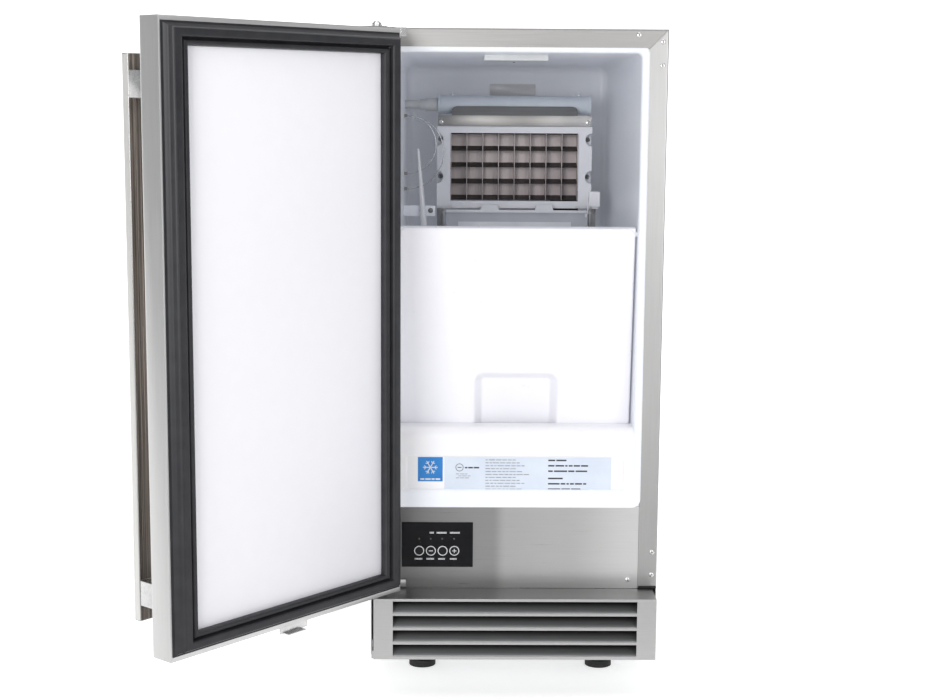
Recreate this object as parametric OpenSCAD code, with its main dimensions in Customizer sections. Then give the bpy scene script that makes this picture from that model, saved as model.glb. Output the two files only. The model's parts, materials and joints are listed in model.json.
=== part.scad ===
// Built-in clear ice maker, 15 inch class, shown with its door swung open.
// The origin lies on the floor at the centre of the four levelling feet, +Z up, front towards -Y.
// Every module works in cabinet coordinates, where y = 0 is the front plane of the steel face,
// and placed() moves it to the row's frame. Door parts are drawn shut and hung() opens them.

/* [Cabinet] */
// Width of the steel cabinet
cab_w = 372.5; // [360:0.5:390]
// Depth of the cabinet behind its front face
cab_d = 549; // [540:1:620]
// Height from the floor to the top panel
cab_h = 850; // [840:1:880]
// Width of the steel border round the opening
face_w = 24.7; // [20:0.1:30]
// Height of the foot of the side borders
face_foot_z = 134.7; // [132:0.1:136]
// Sheet thickness of panels
sheet = 1; // [0.8:0.1:1.2]
// Depth from the front face to the centre of the feet
feet_mid_y = 290; // [280:1:300]

/* [Door] */
// Angle the door stands open at rest
door_open = 131.2; // [90:0.1:135]
// Width of the door
door_w = 369.7; // [360:0.1:372]
// Thickness of the door
door_t = 33; // [30:0.5:40]
// Underside of the door
door_z0 = 147; // [146:0.5:150]
// Top of the door
door_z1 = 846; // [840:0.5:846]
// Gap between the shut door and the face, filled by the gasket
door_gap = 13.6; // [12:0.1:16]
// Left edge of the shut door
door_x0 = -183.7; // [-185:0.1:-182]
// Hinge axis across the cabinet
hinge_x = -175.4; // [-176:0.1:-174]
// Hinge axis in front of the face
hinge_y = -45.2; // [-46:0.1:-44]

/* [Handle] */
// Distance of the handle bar from the free edge of the door
bar_inset = 15.8; // [12:0.1:30]
// Width of the bar
bar_w = 30; // [20:1:36]
// Thickness of the bar
bar_t = 12; // [8:1:16]
// Clear space between the door and the bar
bar_clear = 38.4; // [30:0.1:45]
// Lower end of the bar
bar_z0 = 175.5; // [165:0.5:200]
// Upper end of the bar
bar_z1 = 808.5; // [780:0.5:820]

/* [Control panel] */
// Top of the control panel
panel_z1 = 242; // [235:1:250]
// Height of the row of buttons
button_z = 182.7; // [175:0.1:190]
// Spacing of the buttons
button_pitch = 15.2; // [14:0.1:17]
// Radius of a button
button_r = 5; // [4:0.1:6]
// Travel of a button
button_travel = 0.8; // [0.5:0.1:1]

/* [Ice bin] */
// Height of the sill in front of the ice
sill_z = 345; // [330:1:360]
// Depth of the white cavity
cavity_d = 420; // [400:1:430]
// Half width of the cavity at its mouth
cavity_half = 155; // [150:0.5:156]
// Floor of the ice bin
bin_floor_z = 262; // [255:1:270]
// Backward lean of the bin cover
cover_tilt = 6.9; // [5:0.1:9]

/* [Evaporator] */
// Front plane of the evaporator behind the face
ev_y = 300; // [295:1:305]
// Sideways offset of the evaporator
ev_x = 7.1; // [0:0.1:8]
// Columns of ice cells
ev_cols = 8; // [6:1:8]
// Rows of ice cells
ev_rows = 4; // [3:1:4]
// Width of a cell
cell_w = 22.75; // [20:0.05:23]
// Height of a cell
cell_h = 23.5; // [20:0.1:24]
// Lower edge of the ice cells
cells_z = 621.1; // [615:0.1:625]

/* [Kick plate] */
// How far the kick plate stands in front of the face
kick_out = 49.6; // [45:0.1:50]
// Half width of the kick plate
kick_half = 180.6; // [175:0.1:181]
// Lower edge of the kick plate
kick_z0 = 52.7; // [50:0.1:58]
// Top ledge of the kick plate
kick_z1 = 132.7; // [130:0.1:133]
// Number of louvre openings
louvres = 4; // [3:1:4]
// Pitch of the louvre openings
louvre_pitch = 18.95; // [18:0.05:19]
// Height of a louvre opening
louvre_h = 15.6; // [12:0.1:16]

/* [Hidden] */
$fn = 48;

// Small gap between pieces that lie against each other without touching
gap = 0.3;
// Radial play of a shaft in its bore
play = 0.06;
// Oversize of a cutting tool
cut = 1;

cab_half = cab_w / 2;
mouth_half = cab_half - face_w;
mouth_top = cab_h - face_w;
pan_z = 42;
pan_t = 1.2;

// Colours of the materials
steel = "#b9b9b6";
bright = "#d6d7d8";
white = "#f2f3f5";
zinc = "#b0b2b2";
vane_grey = "#6f7072";
black = "#202124";
board_green = "#2f6b46";
copper = "#b5734b";
foam = "#e6dcae";
pale_plastic = "#dcdfe2";
smoke_plastic = "#c9d0d4";
mid_plastic = "#6d7075";

screw_head_r = 3.4;
screw_head_h = 1.7;
screw_r = 1.6;
screw_len = 3.5;

// Screws of the steel face as [x, z]
face_screws = [
    [148.6, 842.7], [178.8, 834.5], [178.8, 805.3], [179.2, 181.7], [179.2, 151.6],
    [-178.8, 805.3], [-179.2, 181.7], [-179.2, 155]
];
panel_screws = [[148.2, 144.4]];

module placed() {
    translate([0, -feet_mid_y, 0]) children();
}

module hung() {
    placed()
        translate([hinge_x, hinge_y, 0])
            rotate([0, 0, -door_open])
                translate([-hinge_x, -hinge_y, 0]) children();
}

// Box between two corners
module block(low, high) {
    translate(low) cube(high - low);
}

// Cylinder along X, Y or Z from a start point
module rod_x(start, radius, length) {
    translate(start) rotate([0, 90, 0]) cylinder(r = radius, h = length);
}

module rod_y(start, radius, length) {
    translate(start) rotate([-90, 0, 0]) cylinder(r = radius, h = length);
}

module rod_z(start, radius, length) {
    translate(start) cylinder(r = radius, h = length);
}

// Holes through the face for screws given as [x, z]
module screw_holes(places) {
    for (p = places) rod_y([p[0], -cut, p[1]], screw_r + play, screw_len + 2 * cut);
}

// Screw with a pan head whose head stands at the given y
module face_screw(p) {
    rod_y([p[0], 0, p[1]], screw_r, screw_len);
    translate([p[0], 0, p[1]])
        rotate([90, 0, 0])
            rotate_extrude()
                polygon([[0, 0], [screw_head_r, 0], [screw_head_r, screw_head_h * 0.45],
                         [screw_head_r * 0.72, screw_head_h], [0, screw_head_h]]);
}

// Pipe along a list of points with ball joints at the bends
module pipe(points, radius) {
    elbow = 1.25;
    for (i = [0 : len(points) - 2]) {
        a = points[i];
        b = points[i + 1];
        d = b - a;
        length = norm(d);
        translate(a)
            rotate([0, acos(d[2] / length), atan2(d[1], d[0])])
                cylinder(r = radius, h = length);
    }
    for (i = [1 : len(points) - 2]) translate(points[i]) sphere(r = radius * elbow);
}

// ---- Steel cabinet ----

// Side sheet with its folded front border, drawn for the right side
module side_shape() {
    difference() {
        union() {
            block([cab_half - sheet, 0, pan_z], [cab_half, cab_d - sheet - gap, cab_h - sheet - gap]);
            rotate([90, 0, 0])
                mirror([0, 0, 1])
                    linear_extrude(sheet)
                        polygon([[mouth_half, face_foot_z], [cab_half, face_foot_z],
                                 [cab_half, cab_h - sheet - gap],
                                 [cab_half - sheet, cab_h - sheet - gap],
                                 [mouth_half, mouth_top - 1.5 * gap]]);
        }
        block([mouth_half - cut, -cut, pan_z - cut],
              [cab_half + cut, 2, face_foot_z]);
    }
}

module side_panel_right() {
    color(steel) placed() difference() {
        side_shape();
        screw_holes(face_screws);
    }
}

module side_panel_left() {
    color(steel) placed() difference() {
        mirror([1, 0, 0]) side_shape();
        screw_holes(face_screws);
    }
}

module top_panel() {
    color(steel) placed() difference() {
        union() {
            block([-cab_half, 0, cab_h - sheet], [cab_half, cab_d, cab_h]);
            rotate([90, 0, 0])
                mirror([0, 0, 1])
                    linear_extrude(sheet)
                        polygon([[-cab_half + sheet + gap, cab_h - sheet - gap / 2],
                                 [-mouth_half, mouth_top], [mouth_half, mouth_top],
                                 [cab_half - sheet - gap, cab_h - sheet - gap / 2],
                                 [cab_half - sheet - gap, cab_h], [-cab_half + sheet + gap, cab_h]]);
        }
        screw_holes(face_screws);
    }
}

back_hole_z = 120;
inlet_x = -120;
drain_x = 120;
power_x = 20;

module back_panel() {
    color(zinc) placed() difference() {
        block([-cab_half + sheet + gap, cab_d - sheet, pan_z + pan_t + gap],
              [cab_half - sheet - gap, cab_d, cab_h - sheet - gap]);
        rod_y([inlet_x, cab_d - 5, back_hole_z], 13 + play, 10);
        rod_y([drain_x, cab_d - 5, 80], 12 + play, 10);
        block([power_x - 14 - play, cab_d - 5, back_hole_z - 11 - play],
              [power_x + 14 + play, cab_d + 5, back_hole_z + 11 + play]);
        for (row = [0 : 7], side = [-1, 1])
            block([side * 60 - 40, cab_d - 5, 150 + row * 9],
                  [side * 60 + 40, cab_d + 5, 154 + row * 9]);
    }
}

foot_x = 120;
foot_y = 202;
stud_r = 5;

module base_pan() {
    color(zinc) placed() difference() {
        block([-cab_half + sheet + gap, -15, pan_z], [cab_half - sheet - gap, cab_d - sheet - gap, 62]);
        block([-cab_half + sheet + gap + pan_t, -15 + pan_t, pan_z + pan_t],
              [cab_half - sheet - gap - pan_t, cab_d - sheet - gap - pan_t, 62 + cut]);
        block([-cab_half, cab_d - 3, pan_z + pan_t], [cab_half, cab_d, 62 + cut]);
        block([-cab_half, -16, kick_z0 - gap], [cab_half, 1, 62 + cut]);
        for (sx = [-1, 1], sy = [-1, 1])
            rod_z([sx * foot_x, feet_mid_y + sy * foot_y, pan_z - cut], stud_r + play, 10);
    }
}

// Half width of the openings and the strip above the first one
louvre_half = 156;
louvre_margin = 3.4;

// Folded plinth with louvre openings
module kick_plate() {
    color(steel) placed() difference() {
        block([-kick_half, -kick_out, kick_z0], [kick_half, -gap, kick_z1]);
        block([-kick_half + sheet, -kick_out + sheet, kick_z0 - cut],
              [kick_half - sheet, cut, kick_z1 - sheet]);
        for (i = [0 : louvres - 1]) {
            top = kick_z1 - louvre_margin - i * louvre_pitch;
            block([-louvre_half, -kick_out - cut, top - louvre_h],
                  [louvre_half, -kick_out + 2 * sheet, top]);
        }
    }
}

// Sloping vanes behind the openings
module kick_louvres() {
    vane_half = louvre_half + 2;
    vane_deep = 22;
    vane_rise = 8.5;
    color(vane_grey) placed() for (i = [0 : louvres - 1]) {
        z = kick_z1 - louvre_margin - i * louvre_pitch - louvre_h - sheet;
        translate([-vane_half, -kick_out + sheet, z])
            rotate([90, 0, 90])
                linear_extrude(2 * vane_half)
                    polygon([[0, 0], [vane_deep, vane_rise], [vane_deep, vane_rise + sheet], [0, sheet]]);
    }
}

// ---- Controls ----

button_x = [-123.3, -123.3 + button_pitch, -123.3 + 2 * button_pitch, -123.3 + 3 * button_pitch];

module control_panel() {
    color(steel) placed() difference() {
        union() {
            block([-mouth_half + gap, 0, kick_z1 + gap], [mouth_half - gap, sheet, panel_z1]);
            block([-mouth_half + gap, 0, panel_z1 - sheet], [mouth_half - gap, 18, panel_z1]);
        }
        block([-144, -cut, 163], [-55, 3, 219]);
        screw_holes(panel_screws);
    }
}

window_x0 = -145.8;
window_x1 = -53.6;
window_z0 = 161.2;
window_z1 = 220.6;
window_y = -1;

// Black glossy window with a rim that seats in the panel
module display_window() {
    color(black) placed() difference() {
        union() {
            block([window_x0, window_y, window_z0], [window_x1, -0.05, window_z1]);
            block([-143.5, window_y, 163.5], [-55.5, 3.5, 218.5]);
        }
        for (x = button_x) rod_y([x, -2, button_z], button_r + 0.3, 8);
    }
}

// Front of the switches on the board, and where the cap of a button ends
switch_y = 6.8;
cap_y = 2.4;

module button(i) {
    stem = switch_y - cap_y - button_travel - 0.2;
    color(black) placed() {
        rod_y([button_x[i], -1.6, button_z], button_r, 4.6);
        rod_y([button_x[i], cap_y, button_z], button_r - 2, stem);
    }
}

module control_board() {
    color(board_green) placed() {
        difference() {
            block([-150, 8, 156], [-50, 9.6, 228]);
            for (sx = [-146, -54], sz = [160, 224]) rod_y([sx, 6, sz], 1.8, 6);
        }
        for (x = button_x) block([x - 3, switch_y, button_z - 3], [x + 3, 8, button_z + 3]);
        block([-140, 9.6, 200], [-110, 24, 222]);
        block([-100, 9.6, 196], [-80, 28, 222]);
        for (x = [-72, -62]) rod_y([x, 9.6, 210], 4, 18);
    }
}

// ---- White cavity ----

wall = 2.5;
back_half = 151.5;
cavity_top = 822.3;
back_top = 815;
back_drop = 4;

// Box that narrows towards the back
module draft_box(grow, y0, y1) {
    thin = 0.1;
    hull() {
        block([-cavity_half - grow, y0, bin_floor_z - grow],
              [cavity_half + grow, y0 + thin, cavity_top + grow]);
        block([-back_half - grow, y1 - thin, bin_floor_z - back_drop - grow],
              [back_half + grow, y1, back_top + grow]);
    }
}

sill_y = 36.5;
sill_round = 14;
sill_wall = 4.5;
sill_half = cavity_half - 3;
sill_full = cavity_half + 4;

// Outline of the sill across its depth, front at y = 1
module sill_outline(inset) {
    steps = 8;
    radius = sill_round - inset;
    polygon(concat(
        [[sheet + inset, 0]],
        [for (i = [0 : steps])
            [sheet + sill_round - radius * cos(i * 90 / steps),
             sill_z - sill_round + radius * sin(i * 90 / steps)]],
        [[sill_y - inset, sill_z - inset], [sill_y - inset, 0]]));
}

label_x0 = -140.5;
label_x1 = 141;
label_z0 = 257;
label_z1 = 308;
label_deep = 2.2;

module sill_solid(inset, z0) {
    intersection() {
        translate([-sill_full, 0, 0])
            rotate([90, 0, 90])
                linear_extrude(2 * sill_full) sill_outline(inset);
        block([-sill_full, 0, z0], [sill_full, sill_y + 5, sill_z + 5]);
    }
}

cover_pivot_y = 14;
cover_pivot_z = 594;
trunnion_r = 3;

module liner() {
    rim_half = mouth_half - gap;
    color(white) placed() difference() {
        union() {
            difference() {
                draft_box(wall, 2, cavity_d + wall);
                draft_box(0, -1, cavity_d);
            }
            difference() {
                block([-rim_half, sheet, panel_z1 + gap], [rim_half, 4, mouth_top - gap]);
                draft_box(0, -1, cavity_d);
            }
            sill_solid(0, panel_z1 + gap);
        }
        intersection() {
            sill_solid(sill_wall, 0);
            block([-sill_half, 0, 0], [sill_half, sill_y, sill_z]);
        }
        block([label_x0, 0, label_z0], [label_x1, sheet + label_deep, label_z1]);
        for (side = [-1, 1])
            rod_x([side * 155 - 10, cover_pivot_y, cover_pivot_z], trunnion_r + play, 20);
        rod_z([0, cavity_d - 40, bin_floor_z - 20], 9, 30);
    }
}

module cabinet_foam() {
    color(foam) placed() difference() {
        block([-cab_half + sheet + gap, 4.5, 236], [cab_half - sheet - gap, 475, cab_h - sheet - gap]);
        draft_box(wall + gap, -1, cavity_d + wall + gap);
        block([-cab_half, -cut, 200], [cab_half, sill_y + 8, bin_floor_z + 12]);
        block([-sill_full - gap, -cut, 200], [sill_full + gap, sill_y + gap, sill_z + gap]);
        for (side = [-1, 1])
            rod_x([side * 160 - 10, cover_pivot_y, cover_pivot_z], 6, 20);
        rod_z([0, cavity_d - 40, 200], 10.3, 80);
    }
}

module rating_label() {
    color("#dfe5ee") placed()
        block([-91, sheet + label_deep - 0.4, 260.5], [124.5, sheet + label_deep, 306.5]);
}

module blue_label() {
    color("#1f9bea") placed()
        block([-125.3, sheet + label_deep - 0.4, 274], [-93.2, sheet + label_deep, 306]);
}

module ceiling_lamp() {
    color("#f4f1e2") placed() {
        block([-42, 68, 812.5], [40, 150, 819.6]);
        rod_z([0, 168, 813], 3, 6.2);
    }
}

module sensor_cover() {
    color(white) placed()
        block([-26, cavity_d - 6, 768], [42, cavity_d - gap, 787]);
}

// ---- Water circuit in the cavity ----

tube_y = ev_y + 18;
tube_z = 756;
tube_r = 13.2;
tube_half = 110;

module distributor_tube() {
    color(smoke_plastic) placed() difference() {
        rod_x([ev_x - tube_half, tube_y, tube_z], tube_r, 2 * tube_half);
        rod_x([ev_x - tube_half - cut, tube_y, tube_z], tube_r - 2, 2 * tube_half - 2);
        for (i = [0 : ev_cols - 1])
            rod_z([ev_x + (i - (ev_cols - 1) / 2) * cell_w, tube_y - 5, tube_z - 20], 1.2, 15);
    }
}

module water_supply_fitting() {
    color(smoke_plastic) placed() {
        start = ev_x - tube_half;
        rod_x([start - 18, tube_y, tube_z], 9.5, 18);
        rod_x([start - 26, tube_y, tube_z], 7.5, 10);
        rod_x([-151.2, tube_y, tube_z], 6, 151.2 + start - 26);
        rod_x([start, tube_y, tube_z], tube_r - 2 - play, 10);
    }
}

// Bent sheet in front of the tube with an ear at each end
module distributor_cover() {
    color(bright) placed() difference() {
        union() {
            block([ev_x - tube_half, ev_y - 2, 726], [ev_x + tube_half, ev_y - 1, 741.2]);
            translate([ev_x - 90, ev_y - 2, 741])
                rotate([90, 0, 90])
                    linear_extrude(180)
                        polygon([[0, 0], [1, 0], [5, 13], [4, 13]]);
        }
        for (side = [-1, 1])
            rod_y([ev_x + side * (tube_half - 5), ev_y - 5, 731.5], screw_r + play, 10);
    }
}

// ---- Evaporator ----

grid_half = ev_cols * cell_w / 2;
cells_top = cells_z + ev_rows * cell_h;
fin = 0.8;
cell_deep = 21;
fin_rise = 4.6;
shroud_half = 111.2;
shroud_z0 = 609;
shroud_z1 = 725.4;

module evaporator_grid() {
    color("#b3a9a6") placed() {
        block([ev_x - grid_half, ev_y + 22, cells_z], [ev_x + grid_half, ev_y + 24, cells_top + 4]);
        for (i = [0 : ev_cols])
            translate([ev_x - grid_half + i * cell_w - fin / 2, 0, 0])
                block([0, ev_y + 1, cells_z], [fin, ev_y + 22, cells_top]);
        for (row = [0 : ev_rows])
            translate([ev_x - grid_half, ev_y + 1, cells_z + row * cell_h - fin])
                rotate([90, 0, 90])
                    linear_extrude(2 * grid_half)
                        polygon([[0, 0], [cell_deep, fin_rise], [cell_deep, fin_rise + fin], [0, fin]]);
    }
}

notch_r = 9.4;
notch_z = [707, 653.5];

// Moulded frame round the cells with half-round screw recesses at its sides
module evaporator_shroud() {
    color(pale_plastic) placed() difference() {
        block([ev_x - shroud_half, ev_y, shroud_z0], [ev_x + shroud_half, ev_y + 26, shroud_z1]);
        block([ev_x - grid_half - 1, ev_y - cut, cells_z - 2],
              [ev_x + grid_half + 1, ev_y + 30, cells_top + 1]);
        block([ev_x - grid_half - 3, ev_y + 3, cells_z - 4],
              [ev_x + grid_half + 3, ev_y + 30, cells_top + 6]);
        for (side = [-1, 1], z = notch_z)
            rod_y([ev_x + side * shroud_half, ev_y - cut, z], notch_r, 18);
        for (side = [-1, 1], z = notch_z)
            rod_y([ev_x + side * (shroud_half - 5), ev_y, z], screw_r + play, 22);
        for (side = [-1, 1])
            block([ev_x + side * (shroud_half - 11) - 11, ev_y - cut, shroud_z0 - cut],
                  [ev_x + side * (shroud_half - 11) + 11, ev_y + 2, shroud_z0 + 3]);
    }
}

coil_r = 4;

// Serpentine tube on the back of the plate
module evaporator_coil() {
    run_half = grid_half - 14;
    y = ev_y + 24 + coil_r + 0.1;
    color(copper) placed() {
        for (row = [0 : ev_rows - 1])
            rod_x([ev_x - run_half, y, cells_z + (row + 0.5) * cell_h], coil_r, 2 * run_half);
        for (row = [0 : ev_rows - 2])
            translate([ev_x + (row % 2 == 0 ? 1 : -1) * run_half, y, cells_z + (row + 1) * cell_h])
                rotate([90, row % 2 == 0 ? 0 : 180, 0])
                    rotate([0, 0, -90])
                        rotate_extrude(angle = 180)
                            translate([cell_h / 2, 0]) circle(r = coil_r);
    }
}

trough_z0 = 528;
trough_z1 = 578;
trough_y1 = 404;

// Open tray that catches the water under the cells
module water_trough() {
    color(white) placed() difference() {
        block([ev_x - 112, ev_y + 4, trough_z0], [ev_x + 112, trough_y1, trough_z1]);
        block([ev_x - 109.5, ev_y + 6.5, trough_z0 + 2.5],
              [ev_x + 109.5, trough_y1 - 2.5, trough_z1 + cut]);
    }
}

pump_x = 85;
pump_y = 378;

module pump_motor() {
    color(black) placed() difference() {
        union() {
            rod_z([pump_x, pump_y, 584], 21, 46);
            rod_z([pump_x, pump_y, 630], 15, 6);
            rod_z([pump_x, pump_y, 556], 8, 28);
            block([pump_x - 24, pump_y - 14, 580], [pump_x + 24, cavity_d - gap, 584]);
        }
        rod_z([pump_x, pump_y, 550], 3 + play, 76);
    }
}

module pump_impeller() {
    color(mid_plastic) placed() {
        rod_z([pump_x, pump_y, 540], 3, 84);
        rod_z([pump_x, pump_y, 540], 15, 2);
        for (i = [0 : 5])
            translate([pump_x, pump_y, 542])
                rotate([0, 0, i * 60])
                    block([2.5, -0.6, 0], [14.5, 0.6, 8]);
    }
}

flap_half = 101;
flap_x = 10.8;
flap_z = 603;
flap_y = ev_y - 9;
flap_pin_r = 2;

// Hanging plate with two stop tabs, an arm for the switch and a pivot pin at each end
module splash_flap() {
    color(smoke_plastic) placed() {
        translate([flap_x - flap_half, flap_y, flap_z])
            rotate([90, 0, 90])
                linear_extrude(2 * flap_half)
                    polygon([[-5, 1.5], [-5, -0.5], [-3.5, -0.5], [-2.5, -12], [-2.5, -42],
                             [-1, -42], [-1, -11.5], [0, 1.5]]);
        for (x = [-27.9, 49.9])
            translate([x - 14.5, flap_y - 3, flap_z])
                block([0, -2, 1.2], [29, 1, 11]);
        block([flap_x + flap_half, flap_y - 4.5, flap_z - 6],
              [flap_x + flap_half + 2, flap_y - 2, flap_z + 24]);
        block([flap_x + flap_half - 3, flap_y - 4.5, flap_z - 6],
              [flap_x + flap_half + 2, flap_y + 1.2, flap_z - 1]);
        rod_x([flap_x - flap_half - 7, flap_y, flap_z], flap_pin_r, 12);
        rod_x([flap_x + flap_half - 5, flap_y, flap_z], flap_pin_r, 12);
    }
}

module flap_brackets() {
    color(zinc) placed() for (side = [-1, 1]) {
        x = flap_x + side * (flap_half + 4);
        difference() {
            union() {
                block([x - 1.2, flap_y - 5, flap_z - 20], [x + 1.2, ev_y - 0.1, flap_z + 4]);
                block([x - 1.2 - (side < 0 ? 8 : 0), ev_y - 1.6, flap_z - 20],
                      [x + 1.2 + (side < 0 ? 0 : 8), ev_y - 0.1, flap_z + 5.5]);
            }
            rod_x([x - 5, flap_y, flap_z], flap_pin_r + play, 10);
        }
    }
}

module bin_switch() {
    color(white) placed() {
        block([114.4, ev_y - 14, 612], [130, ev_y - 1.8, 634]);
        block([119, ev_y - 11, 609], [128, ev_y - 5, 612]);
    }
}

clip_y = ev_y - 15;
loop_x = -146;
upper_clip_z = 740;
lower_clip_z = [658.5, 636.5];

// Two sensing tubes that loop from the upper clip to the two lower ones
module capillary_tubes() {
    color(bright) placed() for (i = [0, 1]) {
        radius = (upper_clip_z - lower_clip_z[i]) / 2;
        translate([loop_x, clip_y + (i == 0 ? -3 : 3), (upper_clip_z + lower_clip_z[i]) / 2])
            rotate([90, 0, 0])
                rotate([0, 0, -90])
                    rotate_extrude(angle = 180)
                        translate([radius, 0]) circle(r = 0.9);
    }
}

module capillary_clips() {
    color(bright) placed() for (z = concat([upper_clip_z], lower_clip_z)) {
        rod_x([-152.4, clip_y, z], 5, 2);
        block([-150.6, clip_y - 5, z - 2], [loop_x - 0.1, clip_y + 5, z + 2]);
    }
}

// Tapered sleeve for the bin level bulb
module sensor_well() {
    color(white) placed() {
        translate([-119.6, ev_y - 24, 556])
            rotate([0, -4.5, 0])
                cylinder(r1 = 5.5, r2 = 1.4, h = 138);
        block([-128, ev_y - 30, 548], [-111, ev_y - 16, 557]);
        block([-152.4, ev_y - 26, 549], [-127, ev_y - 20, 554]);
    }
}

// ---- Bin cover ----

cover_half = 150.3;
cover_up = 8;
cover_down = 258;
cover_front = -7;
cover_back = 7;

// Outline of the grip hollow on the cover's own plane
module grip_shape(half, top, round_r) {
    for (side = [-1, 1]) {
        translate([side * (half - round_r) + 1.7, 0, top - round_r])
            rotate([90, 0, 0]) cylinder(r = round_r, h = 0.2, $fn = 32);
        translate([side * (half - 1) + 1.7, 0, -cover_down - 10])
            rotate([90, 0, 0]) cylinder(r = 1, h = 0.2, $fn = 32);
    }
}

// Front outline with rounded lower corners
module cover_plate(y0, y1, inset) {
    round_r = 10;
    half = cover_half - inset;
    rotate([90, 0, 0])
        translate([0, 0, -y1])
            linear_extrude(y1 - y0) {
                translate([-half, -cover_down + inset + round_r])
                    square([2 * half, cover_up + cover_down - 2 * inset - round_r]);
                translate([-half + round_r, -cover_down + inset])
                    square([2 * (half - round_r), 2 * round_r]);
                for (side = [-1, 1])
                    translate([side * (half - round_r), -cover_down + inset + round_r]) circle(r = round_r);
            }
}

module bin_cover() {
    color(white) placed()
        translate([0, cover_pivot_y, cover_pivot_z])
            rotate([cover_tilt, 0, 0]) {
                difference() {
                    union() {
                        difference() {
                            cover_plate(cover_front, cover_back, 0);
                            cover_plate(cover_front + wall, cover_back + cut, wall);
                        }
                        block([-58.5, cover_front, -cover_down], [62, cover_back + 4, -177]);
                        for (z = [-60, -120])
                            block([-cover_half + 1, cover_front + 1, z],
                                  [cover_half - 1, cover_back, z + wall]);
                    }
                    hull() {
                        translate([0, cover_front - 0.1, 0]) grip_shape(56, -180, 14.5);
                        translate([0, cover_back - 0.5, 0]) grip_shape(44, -192, 8);
                    }
                    block([-70, cover_front + 14, -cover_down - 1], [70, cover_back + 8, -cover_down + 4]);
                }
                for (side = [-1, 1])
                    rod_x([side > 0 ? cover_half - 2 : -cover_half - 6, 0, 0], trunnion_r, 8);
            }
}

// ---- Machine compartment ----

compressor_x = 85;
compressor_y = 330;

module compressor() {
    color(black) placed() {
        translate([compressor_x, compressor_y, 0]) {
            intersection() {
                union() {
                    rod_z([0, 0, 104], 60, 52);
                    translate([0, 0, 104]) sphere(r = 60);
                    translate([0, 0, 156]) sphere(r = 60);
                }
                block([-70, -70, 62], [70, 70, 206]);
            }
            block([-68, -46, 56], [68, 46, 62]);
            block([-22, -72, 110], [22, -52, 150]);
            for (sx = [-1, 1], sy = [-1, 1])
                rod_z([sx * 56, sy * 36, pan_z + pan_t], 8, 56 - pan_z - pan_t);
        }
    }
}

condenser_x = [-168, 4];
condenser_y = [40, 78];
condenser_z = [50, 216];
fin_pitch = 7;

module condenser() {
    tubes = 6;
    color(zinc) placed() {
        for (x = [condenser_x[0] : fin_pitch : condenser_x[1]])
            block([x, condenser_y[0], condenser_z[0]], [x + 0.6, condenser_y[1], condenser_z[1]]);
        for (i = [0 : tubes - 1])
            rod_x([condenser_x[0] - 6, (condenser_y[0] + condenser_y[1]) / 2, condenser_z[0] + 14 + i * 27],
                  4, condenser_x[1] - condenser_x[0] + 12);
        for (x = [condenser_x[0] - 2, condenser_x[1] + 1])
            block([x, condenser_y[0], pan_z + pan_t], [x + 1, condenser_y[1] + 2, condenser_z[1]]);
    }
}

fan_x = -82;
fan_z = 133;
fan_r = 70;

// Ring plate and motor arms behind the condenser
module fan_bracket() {
    color(black) placed() {
        difference() {
            block([condenser_x[0], condenser_y[1] + 16, pan_z + pan_t],
                  [condenser_x[1], condenser_y[1] + 19, condenser_z[1]]);
            rod_y([fan_x, condenser_y[1], fan_z], fan_r + 5, 40);
        }
        difference() {
            rod_y([fan_x, condenser_y[1] + 19, fan_z], fan_r + 8, 22);
            rod_y([fan_x, condenser_y[1] + 18, fan_z], fan_r + 5, 24);
        }
        for (angle = [45 : 90 : 315])
            translate([fan_x, condenser_y[1] + 41, fan_z])
                rotate([0, angle, 0])
                    block([28.3, 0, -4], [fan_r + 8, 3, 4]);
    }
}

module fan_motor() {
    color(mid_plastic) placed() difference() {
        union() {
            rod_y([fan_x, condenser_y[1] + 41, fan_z], 28, 34);
            rod_y([fan_x, condenser_y[1] + 75, fan_z], 12, 5);
        }
        rod_y([fan_x, condenser_y[1] + 40, fan_z], 3 + play, 30);
    }
}

module fan_blade() {
    blades = 5;
    color(pale_plastic) placed() translate([fan_x, condenser_y[1] + 20, fan_z]) {
        rod_y([0, 0, 0], 16, 14);
        rod_y([0, 10, 0], 3, 38);
        for (i = [0 : blades - 1])
            rotate([0, i * 360 / blades, 0])
                translate([14, 7, 0])
                    rotate([28, 0, 0])
                        block([0, -1, -17], [fan_r - 18, 1, 17]);
    }
}

// Filter drier and the brazed copper pipes
module refrigerant_lines() {
    line_y = 486;
    color(copper) placed() {
        rod_y([-110, 215, 90], 11, 80);
        rod_y([-110, 205, 90], 5, 100);
        pipe([[compressor_x - 30, 402, 100], [compressor_x - 30, line_y, 100],
              [compressor_x - 30, line_y, 680]], 4);
        pipe([[-110, 304, 90], [-110, line_y, 90], [-110, line_y, 640]], 2);
        pipe([[-110, 206, 90], [-110, 190, 90], [-40, 190, 90], [-40, 190, 56], [30, 190, 56],
              [30, 110, 56]], 3);
    }
}

inlet_len = 24;
inlet_r = 9;

// Solenoid valve whose threaded spigot stands out of the back
module inlet_valve() {
    color(pale_plastic) placed() {
        rod_y([inlet_x, cab_d - 34, back_hole_z], 13, 34);
        rod_y([inlet_x, cab_d, back_hole_z], inlet_r, inlet_len);
        block([inlet_x - 14, cab_d - 60, back_hole_z - 14], [inlet_x + 14, cab_d - 34, back_hole_z + 14]);
        rod_z([inlet_x, cab_d - 47, back_hole_z + 14], 11, 34);
    }
}

drain_len = 22;
drain_r = 8;

module drain_fitting() {
    color(mid_plastic) placed() {
        difference() {
            union() {
                rod_y([drain_x, cab_d - 20, 80], 12, 20);
                rod_y([drain_x, cab_d, 80], drain_r, drain_len);
            }
            rod_y([drain_x, cab_d - 21, 80], 5.5, 50);
        }
    }
}

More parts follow.
